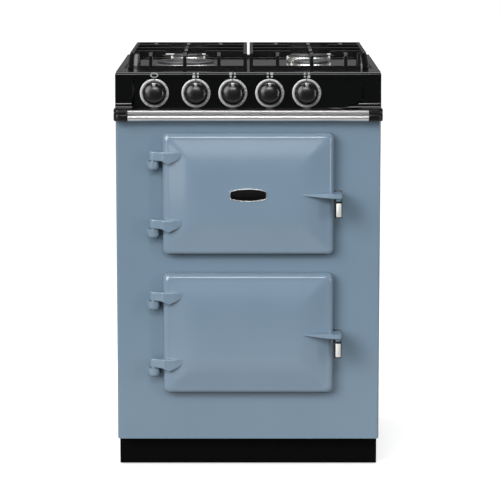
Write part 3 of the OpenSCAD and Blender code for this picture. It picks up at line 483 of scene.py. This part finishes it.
# %% [markdown]
# ## The enamelled casing
# The front plate is one iron casting with a soft arris down each side. A welded copy
# of the CAD plate gets its edges eased, so that light runs along them. The sides are
# sheet steel whose bends are in the CAD model already, so they are only shaded.

# %% Front plate and side panels
front_plate = softened("front_casting", "front_plate", 1.0)
dress(front_plate, blue_enamel, "root")
for side in ("left", "right"):
    panel = softened("side_panel_" + side, "casing_side_" + side, 0)
    dress(panel, blue_enamel, "root")
print("front plate has", len(front_plate.data.polygons), "faces")

# %% [markdown]
# ## The oven doors
# Each door is a cushion-shaped casting: a flat middle, four slopes that meet on the
# diagonals and fade into the middle, and a rounded rim. It is drawn in from a block:
# the front face is extruded again and again, a little forward and a little smaller
# each time, so that one list of distances and reaches gives the whole cushion.

# %% Door sizes
DOOR_HALF, DOOR_HIGH = 193, 138.5            # half its width and half its height
DOOR_MIDS = {"upper": 637.0, "lower": 318.0}
DOOR_BACK = 3                                # gap behind the shut door
RIM, PILLOW = 30, 42                         # reach at the rim and at the middle
RIM_ROUND = 13
SLOPE_END, MIDDLE = 42, 90                   # distances from the door's edge
LINER_HALF, LINER_HIGH, HOLLOW = 166, 115, 18
RISE = (PILLOW - RIM) / ((SLOPE_END + MIDDLE) / 2 - RIM_ROUND)


def door_reach(d):
    """Reach in front of the plate at a distance d from the door's edge."""
    if d < RIM_ROUND:
        return RIM - RIM_ROUND + math.sqrt(RIM_ROUND ** 2 - (RIM_ROUND - d) ** 2)
    if d < SLOPE_END:
        return RIM + RISE * (d - RIM_ROUND)
    return PILLOW - RISE * (MIDDLE - d) ** 2 / (2 * (MIDDLE - SLOPE_END))


print("door", 2 * DOOR_HALF, "x", 2 * DOOR_HIGH, "mm")
print("its slopes lean", round(math.degrees(math.atan(RISE)), 1), "degrees")


# %% One cast door
def cast_door(level):
    """A block whose front is drawn out and in along door_reach, ring by ring."""
    mid = DOOR_MIDS[level]
    door = slab("cast_door_" + level, -DOOR_HALF, DOOR_HALF, DOOR_BACK, RIM - RIM_ROUND,
        mid - DOOR_HIGH, mid + DOOR_HIGH)
    round_edges(door, RIM_ROUND, 8, lambda a, b: abs(a.x - b.x) < 1 and abs(a.z - b.z) < 1)
    choose(door, "FACE", lambda c, n: n.y < -0.9)
    rim = [RIM_ROUND * (1 - math.cos(math.radians(a))) for a in range(9, 91, 9)]
    slope = [18, 24, 30, 36, 42, 47, 52, 57, 62, 67, 72, 77, 82, 86, 90]
    inset, reach = 0, RIM - RIM_ROUND
    for d in rim + slope:
        bpy.ops.mesh.extrude_region_move(
            TRANSFORM_OT_translate={"value": (0, (reach - door_reach(d)) * MM, 0)})
        smaller = ((DOOR_HALF - d) / (DOOR_HALF - inset), 1, (DOOR_HIGH - d) / (DOOR_HIGH - inset))
        bpy.ops.transform.resize(value=smaller,
            center_override=(0, (FRONT - door_reach(d)) * MM, mid * MM))
        inset, reach = d, door_reach(d)
    done()
    return door


for level in DOOR_MIDS:
    door = cast_door(level)
    print(door.name, len(door.data.polygons), "faces, reach",
        round(FRONT - door.bound_box[0][1] / MM, 1), "mm")

# %% [markdown]
# The back of the door is hollow where the pressed inner panel sits. Its face is drawn
# in to the panel's outline and pushed forward.

# %% The hollow behind each door
for level, mid in DOOR_MIDS.items():
    door = bpy.data.objects["cast_door_" + level]
    choose(door, "FACE", lambda c, n: n.y > 0.9)
    bpy.ops.mesh.extrude_region_move()
    bpy.ops.transform.resize(value=(LINER_HALF / DOOR_HALF, 1, LINER_HIGH / DOOR_HIGH),
        center_override=(0, (FRONT - DOOR_BACK) * MM, mid * MM))
    bpy.ops.mesh.extrude_region_move(TRANSFORM_OT_translate={"value": (0, -HOLLOW * MM, 0)})
    done()
    print(door.name, "hollowed", HOLLOW, "mm deep")

# %% [markdown]
# ## Hinge arms
# Two arms on each door carry the pins. An arm is a thick lug that starts as a round
# knuckle over the pin, wraps over the door's edge and fades into its face, with a web
# below it where it meets the door. The round, the lug and the web are united, remeshed
# as one even skin and smoothed, which rounds them all over as fettling does a casting.

# %% One hinge arm
PIN_X, PIN_U = -214, 23
ARM_END, ARM_BACK, ARM_FRONT, ARM_HALF = -147, 14.5, 45, 10.5
WEB_START, WEB_LOW = -192, -18.5
KNUCKLE_R = 8.5
SKIN = 1.3                                   # size of the remeshed skin's faces
HINGES = {"upper": (569.5, 723.5), "lower": (250.5, 404.5)}


def hinge_arm():
    lug = slab("hinge_lug", PIN_X, ARM_END, ARM_BACK, ARM_FRONT, -ARM_HALF, ARM_HALF)
    # The web is a rib under the lug, with its lower outer corner cut away.
    web = slab("web", WEB_START, ARM_END, ARM_BACK, ARM_FRONT, WEB_LOW, -8)
    cut(web, (-191, 0, -13), (-0.45, 0, -0.893))
    modify(lug, "BOOLEAN", operation="UNION", object=web, solver="EXACT")
    bpy.data.objects.remove(web)
    # In plan: up to the crest, along it, then down into the door's face.
    for x, u, slope in ((PIN_X, 31.5, (-0.477, -0.878, 0)), (-191, 44, (0.1, -0.995, 0)),
            (-168, 41.7, (0.22, -0.975, 0))):
        cut(lug, (x, FRONT - u, 0), slope)
    # Seen from the front: the web's underside rises towards the arm's tip.
    cut(lug, (-179, 0, WEB_LOW), (0.4, 0, -0.917))
    cut(lug, (-158, 0, -9.5), (0.6, 0, -0.8))
    deselect()
    bpy.ops.mesh.primitive_cylinder_add(vertices=48, radius=KNUCKLE_R * MM, depth=2 * ARM_HALF * MM,
        location=(PIN_X * MM, (FRONT - PIN_U) * MM, 0))
    knuckle = settle("knuckle")
    modify(lug, "BOOLEAN", operation="UNION", object=knuckle, solver="EXACT")
    bpy.data.objects.remove(knuckle)
    modify(lug, "REMESH", mode="VOXEL", voxel_size=SKIN * MM)
    modify(lug, "SMOOTH", factor=0.5, iterations=26)
    return lug


# %% Four copies of the arm
pattern = hinge_arm()
for level, heights in HINGES.items():
    for i, z in enumerate(heights):
        arm = copy_of(pattern, "hinge_arm_%s_%d" % (level, i), Matrix.Translation((0, 0, z * MM)))
        smooth(arm, 50)
        dress(arm, door_enamel, "door_" + level)
print("hinge arm", len(pattern.data.polygons), "faces, four copies")
bpy.data.objects.remove(pattern)

# %% [markdown]
# The doors get their enamel now. Faces that point steeply down, on the underside of
# each casting, get black enamel instead: painted shade for the dark line under each door.
# Behind it sit the pressed inner panel, the rope seal and the pins, which keep their CAD shapes.

# %% Dressing the doors
PAINTED_SHADE_BELOW = -0.85                            # faces whose normal points lower than this
for level in DOOR_MIDS:
    door = bpy.data.objects["cast_door_" + level]
    smooth(door, 50)
    dress(door, door_enamel, "door_" + level)
    door.data.materials.append(black_enamel)
    # Faces that point steeply down take the black enamel: painted shade under each door.
    for f in door.data.polygons:
        if f.normal.z < PAINTED_SHADE_BELOW:
            f.material_index = 1
    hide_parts("door_casting_" + level)
    dress(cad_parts["door_liner_" + level], rail_steel)
    dress(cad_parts["door_seal_" + level], glass_rope)
    dress(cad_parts["hinge_pins_" + level], turned_steel)
    print(door.name, "dressed,", sum(f.material_index for f in door.data.polygons), "dark faces")

# %% [markdown]
# The sockets that the pins drop into are small castings on the front plate. The CAD
# shape is right, so they only get softer edges.

# %% The hinge sockets on the front plate
sockets = softened("hinge_sockets", "hinge_brackets", 1.6, 3)
dress(sockets, door_enamel, "root")
print("sockets", len(sockets.data.polygons), "faces")

# %% [markdown]
# ## Catch arms and grips
# The catch is a slim fin that grows out of the door's face, thickens towards the edge
# and ends in a short neck with the grip below it. A slab is cut by planes to the fin's
# outline, and the thin end is cut to a taper.

# %% One catch fin
FIN_START, FIN_END, FIN_HALF, FIN_FRONT = 122, 211, 5.2, 66


def catch_fin():
    fin = slab("fin", FIN_START, FIN_END, 20, FIN_FRONT, -FIN_HALF, FIN_HALF)
    # In plan: its front leaves the door's face in two steps.
    cut(fin, (124, FRONT - 41.5, 0), (-0.36, -0.93, 0))
    cut(fin, (155, FRONT - 54, 0), (-0.29, -0.957, 0))
    # Seen from the front: a long taper, and short slopes at the thick end.
    for up in (-1, 1):
        cut(fin, (124, 0, up * 1.2), (-0.065, 0, up * 0.998))
        cut(fin, (206, 0, up * FIN_HALF), (0.5, 0, up * 0.866))
    round_edges(fin, 7, 5, lambda a, b: min(a.x, b.x) > FIN_END - 1 and abs(a.z - b.z) > 3
        and a.y < FRONT - 50)
    neck = slab("neck", 197, 207, 44, 58, -12, 0)
    modify(fin, "BOOLEAN", operation="UNION", object=neck, solver="EXACT")
    bpy.data.objects.remove(neck)
    soft_edges(fin, 1.6, 3, 30)
    return fin


pattern = catch_fin()
for level, mid in DOOR_MIDS.items():
    fin = copy_of(pattern, "catch_fin_" + level, Matrix.Translation((0, 0, mid * MM)))
    smooth(fin, 50)
    dress(fin, door_enamel, "door_" + level)
    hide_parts("catch_arm_" + level)
print("catch fin", FIN_END - FIN_START, "mm long,", len(pattern.data.polygons), "faces, two copies")
bpy.data.objects.remove(pattern)

# %% [markdown]
# The grip is a black moulding with a sunk face that holds a bright plate. The block's
# upright edges are rounded, and its front is drawn in and pushed back for the plate.

# %% Grips with their bright plates
def grip_shell():
    shell = slab("grip", 193.5, 210.5, 40, FIN_FRONT, -49, -12)
    round_edges(shell, 1.6, 4, lambda a, b: abs(a.z - b.z) > 5 and a.y < FRONT - 60)
    choose(shell, "FACE", lambda c, n: n.y < -0.99)
    bpy.ops.mesh.inset(thickness=1.1 * MM)
    bpy.ops.transform.translate(value=(0.5 * MM, 2.4 * MM, 0))
    done()
    soft_edges(shell, 0.4, 2, 40)
    return shell


def grip_insert():
    plate = slab("insert", 197.4, 208.8, 61, 65.2, -46.8, -16.2)
    round_edges(plate, 1.2, 4, lambda a, b: abs(a.y - b.y) > 1)
    round_edges(plate, 0.4, 2, lambda a, b: max(a.y, b.y) < FRONT - 63)
    return plate


shell, insert = grip_shell(), grip_insert()
for level, mid in DOOR_MIDS.items():
    lift = Matrix.Translation((0, 0, mid * MM))
    grip = copy_of(shell, "grip_shell_" + level, lift)
    plate = copy_of(insert, "grip_insert_" + level, lift)
    for piece, finish, slot, node in ((grip, black_plastic, "black_plastic", "grip_"),
            (plate, satin_nickel, "chrome", "grip_plate_")):
        smooth(piece, 40)
        dress(piece, finish, "door_" + level)
        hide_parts(node + level)
print("grip", len(shell.data.polygons), "faces, its plate", len(insert.data.polygons), "faces")
bpy.data.objects.remove(shell)
bpy.data.objects.remove(insert)
dress(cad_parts["catch_keepers"], turned_steel)

# %% [markdown]
# ## The badge, left blank
# On the upper door sits a small barrel-shaped plate: a bright rim around a sunk field
# of black enamel. It is an oval disc with its ends cut off, and its face is drawn in
# and pushed back. The field stays bare.

# %% Blank badge
BADGE_LONG, BADGE_HIGH, BADGE_U, BADGE_END = 49.8, 14.5, 43.1, 41.5
FIELD_U = 43.9                               # the sunk field lies behind this reach
deselect()
bpy.ops.mesh.primitive_cylinder_add(vertices=96, radius=MM, depth=2.2 * MM,
    rotation=(math.pi / 2, 0, 0), scale=(BADGE_LONG, BADGE_HIGH, 1),
    location=(0, (FRONT - BADGE_U) * MM, DOOR_MIDS["upper"] * MM))
badge = settle("blank_badge")
for side in (-1, 1):
    cut(badge, (side * BADGE_END, 0, 0), (side, 0, 0))
choose(badge, "FACE", lambda c, n: n.y < -0.99)
bpy.ops.mesh.inset(thickness=1.0 * MM)
bpy.ops.mesh.inset(thickness=0.4 * MM)
bpy.ops.transform.translate(value=(0, 0.5 * MM, 0))
done()
soft_edges(badge, 0.35, 2, 40)
smooth(badge, 40)
dress(badge, bright_chrome, "door_upper")
badge.data.materials.append(black_enamel)
for f in badge.data.polygons:
    if f.normal.y < -0.95 and f.center.y > (FRONT - FIELD_U) * MM:
        f.material_index = 1
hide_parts("badge_plate")
print("badge", 2 * BADGE_END, "x", 2 * BADGE_HIGH, "mm, left bare")

# %% [markdown]
# ## The trim rail
# A drawn steel bar runs across under the fascia, with a large round bead below and a
# small one above, and a groove between them. Each bead is a bar whose front edges are
# rounded until they meet.

# %% Beads
RAIL_HALF, RAIL_END = 270, 302               # where the steel and its caps end
LOW_BEAD, HIGH_BEAD = (35, 802, 818.4), (34, 819.6, 828)
GROOVE = (29, 818, 820)                      # reach, and lower and upper edge


def bead(name, limits, width):
    bar = slab(name, -RAIL_HALF, RAIL_HALF, 0.2, *limits)
    round_edges(bar, width, 7, lambda a, b: abs(a.x - b.x) > 5 and max(a.y, b.y) < FRONT - 10)
    return bar


rail = join("trim_beads", bead("bead_low", LOW_BEAD, 8), bead("bead_high", HIGH_BEAD, 4),
    slab("bead_groove", -RAIL_HALF, RAIL_HALF, 0.2, *GROOVE))
smooth(rail, 50)
dress(rail, rail_steel, "root")
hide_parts("trim_rail")
print("rail", 2 * RAIL_HALF, "mm between its caps,", len(rail.data.polygons), "faces")

# %% [markdown]
# Black moulded caps carry the rail's section on round both corners and end in a short
# tail along the side. Each is built from the same three bars: first its corner is
# rounded in plan, then its long edges are.

# %% Rail caps
def rail_cap(side):
    parts = []
    for limits, soft in ((LOW_BEAD, 5), (HIGH_BEAD, 3), (GROOVE, 0)):
        x0, x1 = sorted((side * RAIL_HALF, side * RAIL_END))
        part = slab("cap", x0, x1, 0, *limits)
        round_edges(part, 11, 6, lambda a, b: abs(a.z - b.z) > 1
            and max(a.y, b.y) < FRONT - 20 and side * a.x > RAIL_END - 2)
        if soft:
            round_edges(part, soft, 4, lambda a, b: abs(a.z - b.z) < 0.1
                and max(a.y, b.y) < FRONT - 0.5 and max(abs(a.x), abs(b.x)) >= RAIL_HALF + 1)
        parts.append(part)
    x0, x1 = sorted((side * 299.2, side * RAIL_END))
    parts.append(slab("tail", x0, x1, -14, 1, LOW_BEAD[1], HIGH_BEAD[2]))
    return join("rail_cap_" + ("left" if side < 0 else "right"), *parts)


caps = join("rail_end_caps", rail_cap(-1), rail_cap(1))
smooth(caps, 45)
dress(caps, black_plastic, "root")
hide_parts("rail_caps")
print("rail caps", RAIL_END - RAIL_HALF, "mm long,", len(caps.data.polygons), "faces")

# %% [markdown]
# ## The fascia
# One pressing in black enamel, with two pillars and a sunk panel for the knobs. The
# CAD shape is right, so a welded copy of it only needs its arrises eased: they catch
# the thin white lines that make black enamel look like glass. The hob plate is a
# second pressing in the same enamel, and gets the same care.

# %% Fascia and hob
fascia = softened("fascia", "fascia_pressing", 2.2, 3, 28)
dress(fascia, black_enamel, "root")
hob = softened("hob_plate", "hob_pressing", 0.7, 2)
dress(hob, black_enamel, "root")
print("fascia", len(fascia.data.polygons), "faces, hob", len(hob.data.polygons), "faces")

# %% [markdown]
# ## Controls
# Each control has a satin ring on the panel, and a domed knob that turns inside it.
# The shapes are round, so their profiles are turned about an axis, and each copy is
# then seated on the leaning panel.

# %% The leaning panel's frame
TILT = math.radians(4)
LEAN = Matrix.Rotation(math.pi / 2 - TILT, 4, "X")
FACE_U, FACE_Z, RECESS = 6, 848, 8           # a point of the face, and its recess's depth
KNOB_Z = 862.45
KNOB_XS = [-211, -117.5, -34.5, 48.5, 131.5]


def face_reach(z):
    """Reach of the leaning face in front of the plate, at a height z."""
    return FACE_U - (z - FACE_Z) * math.tan(TILT)


KNOB_U = face_reach(KNOB_Z) - RECESS / math.cos(TILT)


def on_panel(x, up=0, out=0, turn=0):
    """A seat in the recess: z points out of the panel, and y runs up along it."""
    seat = at(x, KNOB_U, KNOB_Z) @ LEAN @ Matrix.Translation((0, up * MM, out * MM))
    return seat @ Matrix.Rotation(turn, 4, "Z")


print("knob seats lie", round(-KNOB_U, 2), "mm behind the front plate at height", KNOB_Z)

# %% Dial rings
RING_MID, RING_TOP = 29.4, 2.6
ring = turned("ring", [(26, 0.1), (32.7, 0.1), (32.7, 1.8), (32.5, 2.3), (32, 2.55),
    (RING_MID, RING_TOP), (26.8, 2.55), (26.2, 2.3), (26, 1.8), (26, 0.1)], 96)
rings = [copy_of(ring, "ring_%d" % i, on_panel(x)) for i, x in enumerate(KNOB_XS)]
bpy.data.objects.remove(ring)
rings = join("dial_ring_set", *rings)
smooth(rings, 50)
dress(rings, satin_ring, "root")
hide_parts("dial_rings")
print(len(KNOB_XS), "dial rings,", len(rings.data.polygons), "faces")

# %% [markdown]
# The dial's marks are printed in black: a dot at the top for off, and short strokes
# round the right side for the settings, more of them on the oven's dial. They are thin
# plates, made upright against the front plate and then laid on the ring by one matrix.

# %% Printed marks
LIE = Matrix.Rotation(-math.pi / 2, 4, "X") @ Matrix.Translation((0, -FRONT * MM, 0))
OVEN_MARKS = (30, 55, 80, 105, 130, 155, 180, 205, 230)      # degrees from the top
BURNER_MARKS = (70, 86, 102, 118, 134, 150)
OFF_DOT, STROKE_LONG, STROKE_WIDE = 3.4, 3.6, 1.1


def ring_mark(i, degrees, long, wide):
    mark = slab("mark", -wide / 2, wide / 2, 0, 0.25, -long / 2, long / 2)
    round_edges(mark, wide * 0.45, 3, lambda a, b: abs(a.y - b.y) > 0.1)
    return put(mark, on_panel(KNOB_XS[i], 0, RING_TOP, math.radians(-degrees))
        @ Matrix.Translation((0, RING_MID * MM, 0)) @ LIE)


marks = []
for i in range(len(KNOB_XS)):
    marks.append(ring_mark(i, 0, OFF_DOT, OFF_DOT))
    for degrees in BURNER_MARKS if i else OVEN_MARKS:
        marks.append(ring_mark(i, degrees, STROKE_LONG, STROKE_WIDE))
print(len(marks), "printed marks")
marks = join("dial_marks", *marks)
dress(marks, printed_black, "root")

# %% [markdown]
# ## Knobs
# A knob is a black moulding with a slightly domed face and a rounded shoulder, and a
# small bright pointer let into its rim. It stands clear of the panel by its travel.

# %% Knobs and pointers
knob_profile = [(4.1, 5.2), (23.4, 5.2), (24.4, 6.2), (24.4, 17), (24.2, 19.2), (23.6, 20.8),
    (22.4, 22.2), (20, 23.6), (16.5, 25), (12.5, 26), (8, 26.7), (4, 26.95), (0, 27)]
knob = turned("knob", knob_profile, 72)
smooth(knob, 60)
print("knob from", knob_profile[0][1], "to", knob_profile[-1][1], "mm off the panel")


def pointer():
    """A small bright tab, narrower at its lower end."""
    tab = slab("tab", -4.2, 4.2, 0, 3.4, -4.2, 4.2)
    choose(tab, "VERT", lambda p: p.z < 0)
    bpy.ops.transform.resize(value=(0.5, 1, 1), center_override=(0, (FRONT - 1) * MM, 0))
    done()
    round_edges(tab, 0.5, 2, lambda a, b: True)
    return put(tab, LIE)


POINTER_UP, POINTER_OUT = 19, 22.2           # from the knob's axis, and off the panel
tab = pointer()
for i, x in enumerate(KNOB_XS):
    body = "knob_%d" % i if i else "oven_knob"
    node = "burner_knob_%d" % i if i else "oven_knob"
    turned_knob = copy_of(knob, "turned_knob_%d" % i, on_panel(x))
    dress(turned_knob, knob_gloss, body)
    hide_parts(node)
    mark = copy_of(tab, "knob_pointer_%d" % i, on_panel(x, POINTER_UP, POINTER_OUT))
    smooth(mark, 40)
    dress(mark, satin_ring, body)
bpy.data.objects.remove(knob)
bpy.data.objects.remove(tab)

# %% [markdown]
# Above each knob a small silver sign tells what it controls: an outline of the oven,
# and for the burners four dots of which the one that it lights is larger.

# %% Signs above the knobs
SIGN_Z, OVEN_DOTS = 903.4, 14
BURNER_OF = [None, (-1, -1), (-1, 1), (1, 1), (1, -1)]       # side and row of each knob's burner


def sign_dot(x, dx, dz, r):
    deselect()
    bpy.ops.mesh.primitive_cylinder_add(vertices=20, radius=r * MM, depth=0.3 * MM)
    dot = settle("dot")
    choose(dot, "FACE", lambda c, n: n.z > 0.9)
    bpy.ops.mesh.inset(thickness=0.15 * MM, depth=0.05 * MM)
    done()
    reach = face_reach(SIGN_Z) - dz * math.tan(TILT) + 0.1
    return put(dot, at(x + dx, reach, SIGN_Z + dz) @ LEAN)


signs = []
for i, x in enumerate(KNOB_XS):
    if i == 0:
        for k in range(OVEN_DOTS):
            a = math.tau * k / OVEN_DOTS
            signs.append(sign_dot(x, 7.6 * math.cos(a), 5.0 * math.sin(a), 1.4))
    else:
        for across, back in ((-1, -1), (-1, 1), (1, -1), (1, 1)):
            radius = 3.6 if (across, back) == BURNER_OF[i] else 2.3
            signs.append(sign_dot(x, across * 4.6, back * 3.4, radius))
print(len(signs), "dots in the signs")
signs = join("control_signs", *signs)
dress(signs, printed_silver, "root")

# %% [markdown]
# ## Burners
# A burner is an aluminium crown with flame slots around its sloping side, and an
# enamelled cap that lies on it. The crown's profile is turned, then every third face
# of the slope is drawn in and pushed back to make the slots. The large burner has a
# second, small crown inside.

# %% Crowns
CROWN_HIGH, BORE = 13, 20                    # height, and the radius of the throat
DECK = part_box("burner_crowns")[1][2] / MM - CROWN_HIGH
CAP_Z = DECK + CROWN_HIGH
# From the middle, behind the front plate, and the radius where the slope starts.
BURNERS = {"large": (-145, 191, 66.5), "small": (-145, 414, 34),
    "rapid": (145, 414, 45.5), "medium": (145, 191, 40)}


def crown(name, x, depth, r):
    # A multiple of three, so that the slots come out even all round.
    steps = int(r) // 2 * 3 + 30
    profile = [(r - 9, 3.8), (r - 9, 12.6), (r - 1.6, 12.8), (r - 0.8, 12), (r + 8.6, 2.8),
        (r + 9.6, 1.8), (r + 9.8, 0.2), (BORE, 0.2), (BORE, 3), (r - 9, 3.8)]
    ring = turned(name, profile, steps)

    def slot_face(c, n):
        sector = round(math.atan2(c.y, c.x) / math.tau * steps - 0.5)
        return 2.9 < c.z < 11.9 and math.hypot(c.x, c.y) > r and sector % 3 == 0

    slots = choose(ring, "FACE", slot_face)
    bpy.ops.mesh.inset(thickness=0.5 * MM, use_individual=True)
    bpy.ops.mesh.extrude_faces_move(TRANSFORM_OT_shrink_fatten={"value": -2.2 * MM})
    done()
    smooth(ring, 30)
    print(ring.name, "with", slots, "flame slots")
    return put(ring, at(x, -depth, DECK))


crowns = [crown("crown_" + name, *place) for name, place in BURNERS.items()]
inner = turned("inner_crown", [(21, 2), (29, 2), (29, 9), (27.5, 12.8), (21, 12.8), (21, 2)], 48)
smooth(inner, 30)
crowns.append(put(inner, at(-145, -191, DECK)))
crowns = join("burner_crown_set", *crowns)
dress(crowns, burner_metal, "root")
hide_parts("burner_crowns")

# %% [markdown]
# A cap is a slightly crowned disc with a rounded edge. The large burner's outer crown
# has a ring for a cap, with a round cap on the inner crown inside it.

# %% Caps
INNER_CAP = 30


def cap_profile(r):
    return [(0, 0.1), (r - 1.2, 0.1), (r - 0.2, 0.8), (r - 0.1, 3.4), (r - 0.9, 4.8),
        (r - 2.6, 5.7), (r * 0.8, 6.6), (r * 0.45, 7.5), (0, 7.9)]


def cap_ring_profile(r):
    return [(47, 0.1), (r - 1.2, 0.1), (r - 0.2, 0.8), (r - 0.1, 3.2), (r - 1.4, 4.6),
        (r - 3.6, 5.4), (53, 5.9), (48.4, 5.2), (47, 3.8), (47, 0.1)]


lids = []
for name, (x, depth, r) in BURNERS.items():
    seat = at(x, -depth, CAP_Z)
    if name == "large":
        lids.append(put(turned("lid_ring", cap_ring_profile(r), 96), seat))
        r = INNER_CAP
    lids.append(put(turned("lid_" + name, cap_profile(r), 72), seat))
print(len(lids), "caps seated at height", round(CAP_Z, 1))
lids = join("burner_lid_set", *lids)
smooth(lids, 45)
dress(lids, cap_enamel, "root")
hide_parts("burner_caps")

# %% [markdown]
# ## Pan supports
# Two castings with low front bars, and fingers that rise and turn in over the
# burners. The welded copies have their arrises rounded as sand-cast bars have.

# %% Pan supports
for side in ("left", "right"):
    rack = softened("pan_support_" + side, "pan_rack_" + side, 1.4, 2, 30)
    dress(rack, black_iron, "pan_support_" + side)
    print(rack.name, len(rack.data.polygons), "faces")

# %% [markdown]
# ## Everything that the CAD model already shapes well
# The frame, feet, plinth, ovens, shelves, taps and pipes keep their CAD shapes and get
# their own finishes.

# %% Finishes for the carried-over parts
CARRIED = {"base_frame": zinc, "levelling_feet": black_plastic, "plinth": plinth_black,
    "back_panel": zinc, "terminal_box": black_plastic, "oven_liner_upper": oven_enamel,
    "oven_liner_lower": oven_enamel, "shelf_upper": bright_chrome, "shelf_lower": bright_chrome,
    "insulation": mineral_wool, "heating_elements": element_metal, "oven_control": white_plastic,
    "oven_spindle": turned_steel, "gas_taps": brass_metal, "gas_manifold": zinc,
    "feed_pipes": burner_metal, "injector_cups": burner_metal,
    "burner_electrodes": electrode_glaze}
for i in range(1, 5):
    CARRIED["tap_plug_%d" % i] = brass_metal
    CARRIED["tap_spindle_%d" % i] = turned_steel
for node, finish in CARRIED.items():
    dress(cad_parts[node], finish)
print(len(CARRIED), "carried-over parts dressed")

# %% [markdown]
# ## Floor, sky and lamps
# A white studio. The floor and the sky are white to the camera. In reflections the
# floor is pale only close to the cooker, as a white sheet under it would be: the rail
# and the rings pick that up, while knobs and fascia look out over a dark room. As a
# source of soft light, floor and sky are darker, so that undersides stay dark.

# %% Floor
deselect()
bpy.ops.mesh.primitive_plane_add(size=30, location=(0, 3, -0.0005))
floor = settle("studio_floor")
all_of(floor)
bpy.ops.mesh.subdivide(number_cuts=3)
done()
paint, paint_surface, paint_place = new_finish("white_studio_floor", "#f4f4f4", 0.9)
mottle(paint, paint_surface, paint_place, 900, ("#f3f3f3", "#f6f6f6"))
ray = add_node(paint, "LightPath", {}).outputs
ahead = add_node(paint, "SeparateXYZ", {}, {"Vector": paint_place}).outputs["Y"]
# In reflections the floor is white up to 1.1 m in front and fades out by 2.2 m.
fade = {"From Min": -2.2, "From Max": -1.1, "To Min": 0.12, "To Max": 0.8}
near = add_node(paint, "MapRange", fade, {"Value": ahead})
reflected = add_node(paint, "Math", {"operation": "MULTIPLY"},
    {0: near.outputs["Result"], 1: ray["Is Glossy Ray"]})
white_to = add_node(paint, "Math", {"operation": "MAXIMUM"},
    {0: ray["Is Camera Ray"], 1: reflected.outputs[0]})
paint_colour = paint_surface.inputs["Base Color"].links[0].from_socket
shown = add_node(paint, "Mix", {"data_type": "RGBA", 6: linear("#3a3a3a")},
    {0: white_to.outputs[0], 7: paint_colour})
paint.node_tree.links.new(shown.outputs[2], paint_surface.inputs["Base Color"])
paint_surface.inputs["Emission Color"].default_value = (1, 1, 1, 1)
glow = add_node(paint, "Math", {"operation": "MULTIPLY", 1: 0.5}, {0: ray["Is Camera Ray"]})
paint.node_tree.links.new(glow.outputs[0], paint_surface.inputs["Emission Strength"])
floor.data.materials.append(paint)
print("floor", len(floor.data.polygons), "faces")

# %% Sky
SKY_LIGHT = 0.38                             # its strength as light on the cooker
world = bpy.data.worlds.new("studio")
bpy.context.scene.world = world
world.use_nodes = True
ray = add_node(world, "LightPath", {}).outputs
direction = add_node(world, "TexCoord", {}).outputs["Generated"]
heading = add_node(world, "SeparateXYZ", {}, {"Vector": direction})
# Mirrored, the room is dark in front of the cooker and a little lighter behind it.
dim = {"From Min": 0.0, "From Max": 0.6, "To Min": 0.08, "To Max": 0.15}
mirrored = add_node(world, "MapRange", dim, {"Value": heading.outputs["Y"]})
felt = add_node(world, "Mix", {"data_type": "FLOAT", 2: SKY_LIGHT},
    {0: ray["Is Glossy Ray"], 3: mirrored.outputs["Result"]})
strength = add_node(world, "Mix", {"data_type": "FLOAT", 3: 1.0},
    {0: ray["Is Camera Ray"], 2: felt.outputs[0]})
sky = world.node_tree.nodes["Background"]
world.node_tree.links.new(strength.outputs[0], sky.inputs["Strength"])
sky.inputs["Color"].default_value = (1, 1, 1, 1)
print("sky white to the camera, strength", SKY_LIGHT, "as light on the cooker")

# %% [markdown]
# The light comes from the left and a little above. A sun gives it without falling off
# down the cooker, so the casing is even, and its width softens the shadows. The bright
# strip in front draws the thin line along the doors' top rims and the rail, and the
# dim panel behind it lifts the doors' upper slopes. The panel overhead lights the
# burners' sloping crowns. A panel on the left and a strip on the right put a glow on
# the knobs and on upright edges.

# %% Lamps
def lamp(name, place, target, size, power):
    data = bpy.data.lights.new(name, "AREA")
    data.shape = "RECTANGLE"
    data.size, data.size_y = size
    data.energy = power
    made = bpy.data.objects.new(name, data)
    bpy.context.scene.collection.objects.link(made)
    made.location = place
    made.rotation_euler = (Vector(target) - Vector(place)).to_track_quat("-Z", "Y").to_euler()


lamp("overhead_panel", (0, 0.15, 2.6), (0, 0.151, 0.6), (1.8, 1.5), 32)
lamp("front_strip", (-0.1, -2.95, 2.1), (0, -0.3, 0.7), (1.1, 0.4), 21)
lamp("front_panel", (-0.3, -4.3, 2.0), (0, -0.3, 0.6), (3.2, 0.9), 4)
lamp("left_panel", (-1.9, -3.0, 0.85), (0, -0.3, 0.7), (1.4, 1.3), 8)
lamp("right_strip", (2.3, -2.2, 1.0), (0, -0.3, 0.7), (0.15, 1.5), 15)
key = bpy.data.lights.new("key", "SUN")
key.energy, key.angle = 2.15, math.radians(38)
key_lamp = bpy.data.objects.new("key_lamp", key)
bpy.context.scene.collection.objects.link(key_lamp)
key_lamp.rotation_euler = Vector((0.62, 0.72, -0.42)).to_track_quat("-Z", "Y").to_euler()
print(len(bpy.data.lights), "lamps, the sun among them")

# %% Picture settings and the last line
bpy.context.scene.view_settings.view_transform = "Standard"
